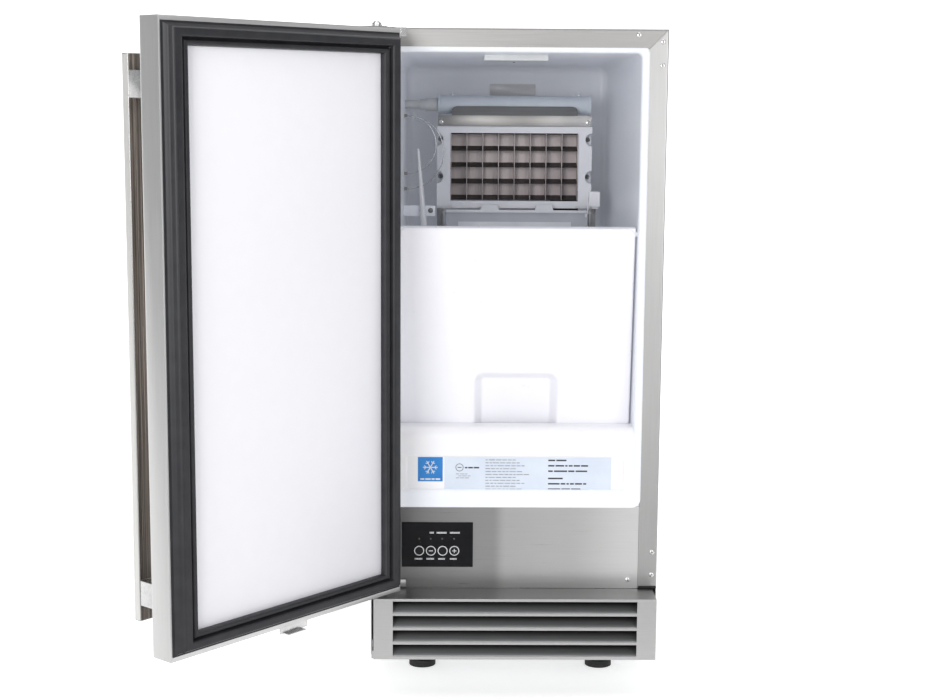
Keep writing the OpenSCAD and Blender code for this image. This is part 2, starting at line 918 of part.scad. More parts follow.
module power_inlet() {
    color(black) placed() difference() {
        union() {
            block([power_x - 14, cab_d - 22, back_hole_z - 11], [power_x + 14, cab_d, back_hole_z + 11]);
            block([power_x - 20, cab_d, back_hole_z - 15], [power_x + 20, cab_d + 3, back_hole_z + 15]);
        }
        block([power_x - 12, cab_d - 16, back_hole_z - 8], [power_x + 12, cab_d + 5, back_hole_z + 8]);
    }
}

// ---- Hinges ----

hinge_pin_r = 2.5;
arm_t = 1.9;
plate_t = 1.8;
face_plate_t = 2.5;
top_arm_z = cab_h - arm_t;
low_arm_z = door_z0 - plate_t - 2 * gap - arm_t;

// Plate screwed on the face and arm that carries the pin
module hinge_shape(arm_z, plate_z0, plate_z1) {
    block([-cab_half + 0.5, -face_plate_t, plate_z0], [-140.5, -0.1, plate_z1]);
    block([hinge_x - 6, hinge_y, arm_z], [hinge_x + 12, -face_plate_t + 0.1, arm_z + arm_t]);
    rod_z([hinge_x, hinge_y, arm_z], 6, arm_t);
}

module hinge_bracket_top() {
    color(bright) placed() {
        hinge_shape(top_arm_z, 839, top_arm_z + arm_t);
        rod_z([hinge_x, hinge_y, door_z1 + gap], hinge_pin_r, 3);
        rod_z([hinge_x, hinge_y, top_arm_z + arm_t], 6.3, 3.4);
        rod_z([hinge_x, hinge_y, top_arm_z + arm_t + 3.4], 4, 1.6);
        for (x = [-150, -164]) rod_y([x, -face_plate_t - 1.5, 843.5], 2.8, 1.5);
    }
}

module hinge_bracket_bottom() {
    color(bright) placed() {
        hinge_shape(low_arm_z, face_foot_z + gap, low_arm_z + arm_t);
        rod_z([hinge_x, hinge_y, low_arm_z + arm_t - 0.1], hinge_pin_r, plate_t + gap + 0.1);
        rod_z([hinge_x, hinge_y, low_arm_z - 4], 5.5, 4);
        for (x = [-150, -164]) rod_y([x, -face_plate_t - 1.5, 139.5], 2.8, 1.5);
    }
}

module screws() {
    color(bright) placed() {
        for (p = face_screws) face_screw(p);
        for (p = panel_screws) face_screw(p);
        for (side = [-1, 1]) {
            translate([0, ev_y - 2, 0]) face_screw([ev_x + side * (tube_half - 5), 731.5]);
            for (z = notch_z)
                translate([0, ev_y + 17, 0]) face_screw([ev_x + side * (shroud_half - 5), z]);
        }
    }
}

// ---- Levelling feet ----

pad_r = 18;
pad_h = 11;

module foot(sx, sy) {
    color(black) placed() translate([sx * foot_x, feet_mid_y + sy * foot_y, 0]) {
        rotate_extrude()
            polygon([[0, 0], [pad_r, 0], [pad_r, pad_h - 2], [pad_r - 4, pad_h],
                     [9, pad_h + 4], [9, pan_z - gap], [0, pan_z - gap]]);
        rod_z([0, 0, pan_z - gap], stud_r, 31);
    }
}

// ---- Door, drawn shut ----

door_x1 = door_x0 + door_w;
door_back = -door_gap;
door_front = door_back - door_t;
door_round = 4;
flange_side = 5.2;
flange_end = 7.5;

// Plan outline of the door with rounded front corners
module door_plan(inset) {
    r = door_round - inset * 0.9;
    x0 = door_x0 + inset;
    x1 = door_x1 - inset;
    translate([x0, door_front + inset + r]) square([x1 - x0, door_t - 2 * inset - r]);
    translate([x0 + r, door_front + inset]) square([x1 - x0 - 2 * r, r + 1]);
    for (x = [x0 + r, x1 - r]) translate([x, door_front + inset + r]) circle(r = r);
}

module door_skin() {
    color(steel) hung() difference() {
        translate([0, 0, door_z0]) linear_extrude(door_z1 - door_z0) door_plan(0);
        translate([0, 0, door_z0 + sheet]) linear_extrude(door_z1 - door_z0 - 2 * sheet) door_plan(sheet);
        block([door_x0 + flange_side, door_back - 2, door_z0 + flange_end],
              [door_x1 - flange_side, door_back + cut, door_z1 - flange_end]);
    }
}

module door_foam() {
    color(foam) hung() difference() {
        block([door_x0 + 1.5, door_front + 1.2, door_z0 + 1.5],
              [door_x1 - 1.5, door_back - 3.4, door_z1 - 1.5]);
        for (x = [door_x0 + 1.2, door_x1 - 1.2 - 4])
            block([x, door_front, door_z0], [x + 4, door_front + 4, door_z1]);
    }
}

module door_liner() {
    color(white) hung()
        block([door_x0 + flange_side + gap, door_back - 3.2, door_z0 + flange_end + gap],
              [door_x1 - flange_side - gap, door_back - gap, door_z1 - flange_end - gap]);
}

// Rectangular ring on the inside of the door
module gasket_ring(outer, inner, y0, y1) {
    difference() {
        block([door_x0 + outer, y0, door_z0 + outer + 2.3], [door_x1 - outer, y1, door_z1 - outer - 2.3]);
        block([door_x0 + inner, y0 - cut, door_z0 + inner - 4], [door_x1 - inner, y1 + cut, door_z1 - inner + 4]);
    }
}

// Sealing ring, set back where it lies over the rim of the display window
module door_gasket() {
    lip_y = -0.6;
    color(black) hung() difference() {
        union() {
            gasket_ring(6, 34.8, door_back - gap, door_back + 4);
            gasket_ring(8, 24, door_back + 4, door_back + 9);
            gasket_ring(11, 24, door_back + 9, lip_y);
            gasket_ring(27, 34, door_back + 4, door_back + 9);
        }
        block([window_x0 - 2, window_y - 0.6, door_z0], [window_x1 + 2, cut, window_z0 + 14]);
    }
}

// Plates on the top and bottom edges of the door that turn on the pins
module door_hinge_plates() {
    color(bright) hung() for (z = [door_z0 - plate_t, door_z1]) difference() {
        union() {
            block([hinge_x - 5.5, hinge_y, z], [-140, door_back - 6, z + plate_t]);
            rod_z([hinge_x, hinge_y, z], 5.5, plate_t);
        }
        rod_z([hinge_x, hinge_y, z - cut], hinge_pin_r + play, plate_t + 2 * cut);
    }
}

module handle_bar() {
    chamfer = 2;
    x1 = door_x1 - bar_inset;
    y1 = door_front - bar_clear;
    color(bright) hung()
        translate([x1 - bar_w, y1 - bar_t, bar_z0])
            linear_extrude(bar_z1 - bar_z0)
                polygon([[chamfer, 0], [bar_w - chamfer, 0], [bar_w, chamfer], [bar_w, bar_t],
                         [0, bar_t], [0, chamfer]]);
}

module handle_posts() {
    x1 = door_x1 - bar_inset;
    post_h = 29.2;
    color(bright) hung() for (z = [bar_z0 + 18.7, bar_z1 - 47.9])
        block([x1 - bar_w + 1, door_front - bar_clear, z], [x1 - gap, door_front, z + post_h]);
}

// Small bent bracket under the middle of the door
module door_tab() {
    color(bright) hung() {
        block([-22, door_back - 20, door_z0 - 1.5], [22, door_back - 1, door_z0]);
        block([-22, door_back - 2.5, door_z0 - 8], [22, door_back - 1, door_z0]);
        block([-14, door_back - 2.5, door_z0 - 9.5], [14, door_back + 5, door_z0 - 8]);
    }
}

side_panel_left();
side_panel_right();
top_panel();
back_panel();
base_pan();
kick_plate();
kick_louvres();
control_panel();
control_board();
display_window();
liner();
cabinet_foam();
rating_label();
blue_label();
ceiling_lamp();
sensor_cover();
distributor_tube();
distributor_cover();
water_supply_fitting();
evaporator_grid();
evaporator_shroud();
evaporator_coil();
water_trough();
pump_motor();
pump_impeller();
splash_flap();
flap_brackets();
bin_switch();
capillary_tubes();
capillary_clips();
sensor_well();
bin_cover();
compressor();
condenser();
fan_bracket();
fan_motor();
fan_blade();
refrigerant_lines();
inlet_valve();
drain_fitting();
power_inlet();
hinge_bracket_top();
hinge_bracket_bottom();
screws();
button(0);  // button_power
button(1);  // button_minus
button(2);  // button_clean
button(3);  // button_plus
foot(-1, -1);  // foot_front_left
foot(1, -1);  // foot_front_right
foot(-1, 1);  // foot_rear_left
foot(1, 1);  // foot_rear_right
door_skin();
door_foam();
door_liner();
door_gasket();
door_hinge_plates();
handle_bar();
handle_posts();
door_tab();
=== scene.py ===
import json
import math

import bmesh
import bpy
from mathutils import Matrix, Vector


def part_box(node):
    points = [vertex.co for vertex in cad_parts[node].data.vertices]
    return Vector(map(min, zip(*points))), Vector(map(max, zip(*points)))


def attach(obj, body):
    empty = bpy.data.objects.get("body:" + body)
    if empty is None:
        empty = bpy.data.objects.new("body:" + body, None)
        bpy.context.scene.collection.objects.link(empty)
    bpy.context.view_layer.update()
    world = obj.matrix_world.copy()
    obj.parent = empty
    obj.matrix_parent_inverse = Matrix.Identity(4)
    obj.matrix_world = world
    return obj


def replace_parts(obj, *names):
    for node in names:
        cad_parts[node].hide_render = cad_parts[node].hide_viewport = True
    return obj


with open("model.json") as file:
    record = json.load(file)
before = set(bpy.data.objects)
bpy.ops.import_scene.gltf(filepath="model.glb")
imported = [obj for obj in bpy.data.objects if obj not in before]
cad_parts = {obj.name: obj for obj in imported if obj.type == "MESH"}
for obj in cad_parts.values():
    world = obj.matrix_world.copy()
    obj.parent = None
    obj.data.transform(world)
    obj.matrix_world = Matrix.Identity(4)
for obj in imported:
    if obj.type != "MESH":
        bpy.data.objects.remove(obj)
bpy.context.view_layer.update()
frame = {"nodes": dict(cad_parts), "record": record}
record = frame["record"]
nodes = frame["nodes"]

# ---------------------------------------------------------------- frame helpers

FACE_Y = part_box("side_panel_right")[0].y      # front plane of the steel face, metres
DOOR = next(j for j in record["behaviour"]["joints"] if j["name"] == "door_hinge")
COVER = next(j for j in record["behaviour"]["joints"] if j["name"] == "bin_cover_hinge")
OPEN = math.radians(DOOR["range_deg"][1])
PIVOT = Vector(DOOR["pos_m"])


def at(x, y, z):
    """A point given in millimetres from the cabinet's face, in the row frame."""
    return Vector((x / 1000, FACE_Y + y / 1000, z / 1000))


SWING = (Matrix.Translation(PIVOT) @ Matrix.Rotation(-OPEN, 4, "Z")
         @ Matrix.Translation(-PIVOT))
TILT = math.radians(6.9)
COVER_SPACE = Matrix.Translation(Vector(COVER["pos_m"])) @ Matrix.Rotation(TILT, 4, "X")


# ---------------------------------------------------------------- materials

def material(name, low, high, rough, metal=0.0, scale=60.0, stretch=(1, 1, 1), bump=0.0,
             rough_spread=0.06, detail=4.0, coat=0.0, ior=1.5, sss=0.0, glow=None):
    """A procedural surface: its colour and roughness wander between two values with noise."""
    m = bpy.data.materials.new(name)
    m.use_nodes = True
    tree = m.node_tree
    shader = tree.nodes["Principled BSDF"]
    place = tree.nodes.new("ShaderNodeTexCoord")
    mapping = tree.nodes.new("ShaderNodeMapping")
    mapping.inputs["Scale"].default_value = stretch
    noise = tree.nodes.new("ShaderNodeTexNoise")
    noise.inputs["Scale"].default_value = scale
    noise.inputs["Detail"].default_value = detail
    ramp = tree.nodes.new("ShaderNodeValToRGB")
    ramp.color_ramp.elements[0].position = 0.3
    ramp.color_ramp.elements[1].position = 0.7
    ramp.color_ramp.elements[0].color = (*low, 1)
    ramp.color_ramp.elements[1].color = (*high, 1)
    spread = tree.nodes.new("ShaderNodeMapRange")
    spread.inputs["To Min"].default_value = max(0.02, rough - rough_spread)
    spread.inputs["To Max"].default_value = min(1.0, rough + rough_spread)
    link = tree.links.new
    link(place.outputs["Object"], mapping.inputs["Vector"])
    link(mapping.outputs["Vector"], noise.inputs["Vector"])
    link(noise.outputs["Fac"], ramp.inputs["Fac"])
    link(ramp.outputs["Color"], shader.inputs["Base Color"])
    link(noise.outputs["Fac"], spread.inputs["Value"])
    link(spread.outputs["Result"], shader.inputs["Roughness"])
    shader.inputs["Metallic"].default_value = metal
    shader.inputs["IOR"].default_value = ior
    shader.inputs["Coat Weight"].default_value = coat
    if sss:
        shader.inputs["Subsurface Weight"].default_value = sss
        shader.inputs["Subsurface Radius"].default_value = (0.004, 0.004, 0.004)
    if bump:
        ripple = tree.nodes.new("ShaderNodeBump")
        ripple.inputs["Strength"].default_value = bump
        ripple.inputs["Distance"].default_value = 0.0004
        link(noise.outputs["Fac"], ripple.inputs["Height"])
        link(ripple.outputs["Normal"], shader.inputs["Normal"])
    if glow:
        shader.inputs["Emission Color"].default_value = (*glow[0], 1)
        shader.inputs["Emission Strength"].default_value = glow[1]
    return m


def shade(m, axis, start, stop, stops):
    """Paints slow light and shade into a surface's colour along an axis of the object, from start to stop in
    metres.
    """
    tree = m.node_tree
    shader = tree.nodes["Principled BSDF"]
    base = shader.inputs["Base Color"].links[0].from_socket
    place = tree.nodes.new("ShaderNodeTexCoord")
    parts = tree.nodes.new("ShaderNodeSeparateXYZ")
    span = tree.nodes.new("ShaderNodeMapRange")
    span.inputs["From Min"].default_value = start
    span.inputs["From Max"].default_value = stop
    ramp = tree.nodes.new("ShaderNodeValToRGB")
    ramp.color_ramp.interpolation = "EASE"
    while len(ramp.color_ramp.elements) < len(stops):
        ramp.color_ramp.elements.new(0.5)
    for element, (position, value) in zip(ramp.color_ramp.elements, stops):
        element.position = position
        element.color = (value, value, value, 1)
    mix = tree.nodes.new("ShaderNodeMix")
    mix.data_type = "RGBA"
    mix.blend_type = "MULTIPLY"
    mix.inputs["Factor"].default_value = 1.0
    tree.links.new(place.outputs["Object"], parts.inputs[0])
    tree.links.new(parts.outputs[axis], span.inputs["Value"])
    tree.links.new(span.outputs["Result"], ramp.inputs["Fac"])
    tree.links.new(base, mix.inputs[6])
    tree.links.new(ramp.outputs["Color"], mix.inputs[7])
    tree.links.new(mix.outputs[2], shader.inputs["Base Color"])
    return m


def brushed(name, tone, along, rough=0.3, spread=0.03, warm=0.0, painted_ramp=None):
    """Brushed stainless steel with fine lines along an axis; its last argument paints slow shade and
    reflection into its colour.
    """
    fine = {"x": (1.2, 90, 90), "y": (90, 1.2, 90), "z": (90, 90, 1.2)}[along]
    low = tuple(max(0, tone - spread + warm * k) for k in (1, 0.3, -0.5))
    high = tuple(min(1, tone + spread + warm * k) for k in (1, 0.3, -0.5))
    m = material(name, low, high, rough, metal=1.0, scale=14, stretch=fine, bump=0.04,
                 rough_spread=0.06, detail=6)
    return shade(m, *painted_ramp) if painted_ramp else m


M = {
    # painted reflection on the side sheets: darker towards the bottom, brightest about 0.7 m up
    "steel_side": brushed("steel_side", 0.66, "z", 0.34, 0.02, 0.008,
                          ("Z", 0.1, 0.85, [(0.0, 0.60), (0.45, 0.73), (0.8, 0.80), (1.0, 0.74)])),
    # the top sheet is a darker copy of the side steel: painted shade on the top and its front fold
    "steel_top_painted_shade": brushed("steel_top_painted_shade", 0.35, "x", 0.40, 0.02, 0.010),
    # painted reflection on the fascia: dark at its left end, brightening to the right
    "steel_panel": brushed("steel_panel", 0.80, "x", 0.30, 0.02, 0.008,
                           ("X", -0.16, 0.16,
                            [(0.0, 0.22), (0.41, 0.37), (0.47, 0.55), (0.7, 0.60), (1.0, 0.82)])),
    "notch_steel": material("notch_steel", (0.16, 0.16, 0.15), (0.28, 0.28, 0.27), 0.40, 0.5, 200),
    # painted highlight on the plinth's front and fold, painted shade on the ledge's top behind it
    "steel_kick": brushed("steel_kick", 0.48, "x", 0.36, 0.02, 0.004,
                          ("Y", -0.3396, -0.29, [(0.0, 0.94), (0.06, 0.66), (1.0, 0.58)])),
    "steel_door": brushed("steel_door", 0.70, "z", 0.40, 0.02, 0.008),
    "steel_handle": brushed("steel_handle", 0.48, "z", 0.20, 0.02, 0.006),
    # painted reflection and painted highlight for the polished handle bar's facings
    "handle_dark_reflection": material("handle_dark_reflection", (0.035, 0.030, 0.027), (0.26, 0.22, 0.19), 0.26, 0.6, 9,
                            (70, 70, 0.5), detail=3),
    "handle_edge_highlight": material("handle_edge_highlight", (0.66, 0.65, 0.63), (0.74, 0.73, 0.71), 0.32, 0.3, 60,
                            (20, 20, 1)),
    "steel_bright": material("steel_bright", (0.58, 0.58, 0.58), (0.72, 0.72, 0.71), 0.26, 1.0, 120),
    # painted reflection on the distributor cover: uneven along its length, brightest at its right end
    "cover_steel": brushed("cover_steel", 0.50, "x", 0.38, 0.03, 0.02,
                           ("X", -0.11, 0.12,
                            [(0.0, 0.60), (0.30, 0.72), (0.55, 0.62), (0.8, 1.0), (1.0, 1.25)])),
    # a darker copy of the cover steel for the leaning lip: painted shade
    "cover_lip_painted_shade": brushed("cover_lip_painted_shade", 0.26, "x", 0.34, 0.03, 0.008),
    "zinc": material("zinc", (0.36, 0.37, 0.38), (0.45, 0.46, 0.46), 0.42, 1.0, 45, rough_spread=0.12),
    # painted highlight on the louvre vanes' front edges, painted shade deeper into the slots
    "louvre": shade(material("louvre", (0.60, 0.61, 0.62), (0.68, 0.69, 0.70), 0.42, 0.2, 30, (1, 12, 12)),
                    "Y", -0.339, -0.318,
                    [(0.0, 1.0), (0.05, 0.95), (0.13, 0.46), (0.36, 0.30), (1.0, 0.05)]),
    "white": material("white", (0.880, 0.878, 0.900), (0.890, 0.888, 0.908), 0.32, 0, 60, bump=0.01, coat=0.1,
                      rough_spread=0.02),
    # the cavity white glows faintly: painted light brightening the inside
    "cavity": material("cavity", (0.83, 0.85, 0.90), (0.85, 0.87, 0.915), 0.38, 0, 45, bump=0.02, coat=0.1,
                       rough_spread=0.02, glow=((0.88, 0.92, 1.0), 0.05)),
    "cover_white": material("cover_white", (0.895, 0.89, 0.935), (0.905, 0.90, 0.945), 0.28, 0, 70, bump=0.01,
                            coat=0.2, rough_spread=0.015),
    "door_white": material("door_white", (0.895, 0.89, 0.925), (0.905, 0.90, 0.935), 0.36, 0, 60, bump=0.01,
                           coat=0.1, rough_spread=0.015),
    "shroud": material("shroud", (0.80, 0.80, 0.84), (0.84, 0.84, 0.88), 0.42, 0, 40, bump=0.03),
    "tube": material("tube", (0.60, 0.66, 0.72), (0.68, 0.73, 0.79), 0.30, 0, 35, bump=0.02, coat=0.2),
    "hose": material("hose", (0.52, 0.53, 0.54), (0.64, 0.65, 0.66), 0.38, 0, 50),
    "lamp": material("lamp", (0.70, 0.71, 0.72), (0.78, 0.79, 0.80), 0.35, 0, 60, (1, 8, 1)),
    "sensor": material("sensor", (0.72, 0.715, 0.72), (0.82, 0.815, 0.82), 0.30, 0, 30, (1, 1, 5), coat=0.3),
    "cell_back": material("cell_back", (0.64, 0.57, 0.57), (0.78, 0.69, 0.69), 0.46, 0.15, 26,
                          rough_spread=0.1),
    # near black on the sloping fins: painted shade on the plated metal
    "fin_painted_shade": material("fin_painted_shade", (0.014, 0.009, 0.008), (0.026, 0.019, 0.018), 0.50, 0.0, 40),
    "fin_pale": material("fin_pale", (0.40, 0.36, 0.35), (0.56, 0.51, 0.50), 0.38, 0.3, 60, (1, 1, 6)),
    # grey on the splash flap's white plastic plate: painted shade
    "flap": material("flap", (0.50, 0.51, 0.55), (0.56, 0.57, 0.61), 0.36, 0, 30, bump=0.02, coat=0.15),
    "flap_inner": material("flap_inner", (0.70, 0.71, 0.75), (0.78, 0.79, 0.82), 0.34, 0, 30, bump=0.02,
                           coat=0.15),
    "bracket": material("bracket", (0.30, 0.30, 0.30), (0.40, 0.39, 0.38), 0.40, 0.5, 70),
    "wire": material("wire", (0.50, 0.51, 0.53), (0.66, 0.67, 0.69), 0.24, 0.7, 90),
    "copper": material("copper", (0.62, 0.28, 0.16), (0.78, 0.42, 0.26), 0.28, 1.0, 40, rough_spread=0.14),
    "foam": material("foam", (0.66, 0.59, 0.38), (0.80, 0.73, 0.52), 0.85, 0, 90, bump=0.5),
    "board": material("board", (0.02, 0.13, 0.06), (0.04, 0.20, 0.10), 0.35, 0, 140, coat=0.3),
    "black_gloss": material("black_gloss", (0.004, 0.004, 0.005), (0.008, 0.008, 0.010), 0.14, 0, 40,
                            rough_spread=0.03, ior=1.26),
    "button_black": material("button_black", (0.006, 0.006, 0.007), (0.013, 0.013, 0.015), 0.30, 0, 90,
                             bump=0.05, ior=1.3),
    "print_white": material("print_white", (0.66, 0.67, 0.68), (0.80, 0.81, 0.82), 0.50, 0, 200),
    "led_off": material("led_off", (0.016, 0.016, 0.016), (0.030, 0.030, 0.030), 0.22, 0, 200, coat=0.4),
    "label_grey": material("label_grey", (0.63, 0.69, 0.79), (0.69, 0.75, 0.84), 0.45, 0, 30, (1, 4, 1),
                           coat=0.1),
    "label_blue": material("label_blue", (0.004, 0.17, 0.52), (0.008, 0.22, 0.60), 0.34, 0, 50, coat=0.2),
    "ink": material("ink", (0.02, 0.02, 0.022), (0.05, 0.05, 0.06), 0.6, 0, 150),
    "ink_pale": material("ink_pale", (0.24, 0.26, 0.29), (0.36, 0.38, 0.41), 0.6, 0, 150),
    "gasket": material("gasket", (0.020, 0.020, 0.024), (0.030, 0.030, 0.034), 0.40, 0, 50, bump=0.06,
                       ior=1.4),
    "rubber": material("rubber", (0.008, 0.008, 0.008), (0.018, 0.018, 0.018), 0.62, 0, 120, bump=0.2,
                       ior=1.4),
    "black_plastic": material("black_plastic", (0.014, 0.014, 0.016), (0.028, 0.028, 0.031), 0.48, 0, 90,
                              bump=0.12),
    "grey_plastic": material("grey_plastic", (0.40, 0.41, 0.42), (0.52, 0.53, 0.54), 0.42, 0, 60, bump=0.05),
    "enamel": material("enamel", (0.008, 0.008, 0.010), (0.018, 0.018, 0.022), 0.30, 0, 50, bump=0.1,
                       coat=0.5),
    "fins": material("fins", (0.36, 0.37, 0.38), (0.52, 0.53, 0.54), 0.36, 1.0, 80, (6, 1, 1)),
    "screw": material("screw", (0.66, 0.66, 0.65), (0.80, 0.80, 0.79), 0.24, 0.85, 150),
    "dark": material("dark", (0.008, 0.008, 0.009), (0.02, 0.02, 0.022), 0.55, 0, 100),
}

LOOK = {
    "side_panel_left": "steel_side", "side_panel_right": "steel_side", "top_panel": "steel_top_painted_shade",
    "back_panel": "zinc", "base_pan": "zinc", "kick_plate": "steel_kick", "kick_louvres": "louvre",
    "control_panel": "steel_panel", "control_board": "board", "display_window": "black_gloss",
    "liner": "white", "cabinet_foam": "foam", "rating_label": "label_grey",
    "blue_label": "label_blue", "ceiling_lamp": "lamp", "sensor_cover": "sensor",
    "distributor_tube": "tube", "distributor_cover": "cover_steel",
    "water_supply_fitting": "hose", "evaporator_grid": "cell_back", "evaporator_shroud": "shroud",
    "evaporator_coil": "copper", "water_trough": "white", "pump_motor": "black_plastic",
    "pump_impeller": "grey_plastic", "splash_flap": "flap", "flap_brackets": "bracket",
    "bin_switch": "white", "capillary_tubes": "wire", "capillary_clips": "notch_steel",
    "sensor_well": "white", "bin_cover": "cover_white", "compressor": "enamel",
    "condenser": "fins", "fan_bracket": "black_plastic", "fan_motor": "black_plastic",
    "fan_blade": "grey_plastic", "refrigerant_lines": "copper", "inlet_valve": "grey_plastic",
    "drain_fitting": "black_plastic", "power_inlet": "black_plastic",
    "hinge_bracket_top": "steel_bright", "hinge_bracket_bottom": "steel_bright",
    "screws": "screw", "button_power": "button_black", "button_minus": "button_black",
    "button_clean": "button_black", "button_plus": "button_black",
    "foot_front_left": "rubber", "foot_front_right": "rubber", "foot_rear_left": "rubber",
    "foot_rear_right": "rubber", "door_skin": "steel_door", "door_foam": "foam",
    "door_liner": "door_white", "door_gasket": "gasket", "door_hinge_plates": "steel_bright",
    "handle_bar": "steel_handle", "handle_posts": "steel_bright", "door_tab": "steel_bright",
}
for name, look in LOOK.items():
    nodes[name].data.materials.clear()
    nodes[name].data.materials.append(M[look])


def soften(name, width, segments=3, angle=35):
    """Rounds the sharp edges of a CAD node by a modifier; width in millimetres."""
    obj = nodes[name]
    weld = obj.modifiers.new("weld", "WELD")
    weld.merge_threshold = 1e-6
    edge = obj.modifiers.new("soften", "BEVEL")
    edge.width = width / 1000
    edge.segments = segments
    edge.limit_method = "ANGLE"
    edge.angle_limit = math.radians(angle)
    edge.use_clamp_overlap = True
    edge.harden_normals = True
    for face in obj.data.polygons:
        face.use_smooth = True


for name, width in {
    "kick_louvres": 0.3, "ceiling_lamp": 1.5, "sensor_cover": 1.2, "water_trough": 1.0,
    "flap_brackets": 0.4, "bin_switch": 1.5, "inlet_valve": 0.8,
    "hinge_bracket_top": 0.5, "hinge_bracket_bottom": 0.5, "door_skin": 0.6, "door_liner": 0.4,
    "handle_bar": 0.6, "handle_posts": 0.8, "door_tab": 0.4, "power_inlet": 0.8, "fan_motor": 1.2,
    "pump_motor": 1.0, "drain_fitting": 0.6,
}.items():
    soften(name, width)


# ---------------------------------------------------------------- mesh helpers

def piece(name, verts, faces, look, body, space=None, smooth=35):
    """A mesh from points in millimetres; space places it, or the cabinet's face does."""
    me = bpy.data.meshes.new(name)
    if space is None:
        points = [at(*v) for v in verts]
    else:
        points = [space @ Vector([c / 1000 for c in v]) for v in verts]
    me.from_pydata([tuple(p) for p in points], [], faces)
    me.validate()
    bm = bmesh.new()
    bm.from_mesh(me)
    bmesh.ops.remove_doubles(bm, verts=bm.verts, dist=1e-6)
    bmesh.ops.delete(bm, geom=[v for v in bm.verts if not v.link_faces], context="VERTS")
    bmesh.ops.recalc_face_normals(bm, faces=bm.faces)
    bm.to_mesh(me)
    bm.free()
    for face in me.polygons:
        face.use_smooth = True
    me.set_sharp_from_angle(angle=math.radians(smooth))
    obj = bpy.data.objects.new(name, me)
    bpy.context.scene.collection.objects.link(obj)
    me.materials.append(M[look])
    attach(obj, body)
    return obj


def grid_faces(rows, cols, close_rows=False, close_cols=False):
    faces = []
    for r in range(rows if close_rows else rows - 1):
        for c in range(cols if close_cols else cols - 1):
            r2, c2 = (r + 1) % rows, (c + 1) % cols
            faces.append((r * cols + c, r * cols + c2, r2 * cols + c2, r2 * cols + c))
    return faces


def shell(outer, inner, cols, skipped=()):
    """(verts, faces) of a plate between two grids, with walls round its rim and its openings."""
    n = len(outer)
    faces, edges = [], set()
    for r in range(n // cols - 1):
        for c in range(cols - 1):
            if (r, c) in skipped:
                continue
            face = (r * cols + c, r * cols + c + 1, (r + 1) * cols + c + 1, (r + 1) * cols + c)
            faces += [face, tuple(i + n for i in reversed(face))]
            edges |= {(face[k], face[(k + 1) % 4]) for k in range(4)}
    faces += [(b, a, a + n, b + n) for a, b in sorted(edges) if (b, a) not in edges]
    return list(outer) + list(inner), faces


def bend(corner, one, two, radius, count=8):
    """[(point, outward normal)] round a fold at corner, from direction one to direction two."""
    (cx, cy), (ax, ay), (bx, by) = corner, one, two
    centre = (cx + (ax + bx) * radius, cy + (ay + by) * radius)
    out = [((cx + ax * (radius + 0.4), cy + ay * (radius + 0.4)), (-bx, -by))]
    for k in range(count + 1):
        t = math.radians(90 * k / count)
        n = (-bx * math.cos(t) - ax * math.sin(t), -by * math.cos(t) - ay * math.sin(t))
        out.append(((centre[0] + n[0] * radius, centre[1] + n[1] * radius), n))
    out.append(((cx + bx * (radius + 0.4), cy + by * (radius + 0.4)), (-ax, -ay)))
    return out


def step(value, low, high):
    t = min(1.0, max(0.0, (value - low) / (high - low)))
    return t * t * (3 - 2 * t)


def rounded_box_distance(u, v, cx, cz, hx, hz, r):
    """Signed distance to a rounded rectangle, negative inside."""
    dx, dz = abs(u - cx) - hx + r, abs(v - cz) - hz + r
    return math.hypot(max(dx, 0), max(dz, 0)) + min(max(dx, dz), 0) - r


def spaced(low, high, count):
    return [low + (high - low) * i / (count - 1) for i in range(count)]


def combine(*lists):
    """Sorted values of several lists without near repeats."""
    out = []
    for value in sorted(v for values in lists for v in values):
        if not out or value - out[-1] > 0.05:
            out.append(value)
    return out


# ---------------------------------------------------------------- bin cover

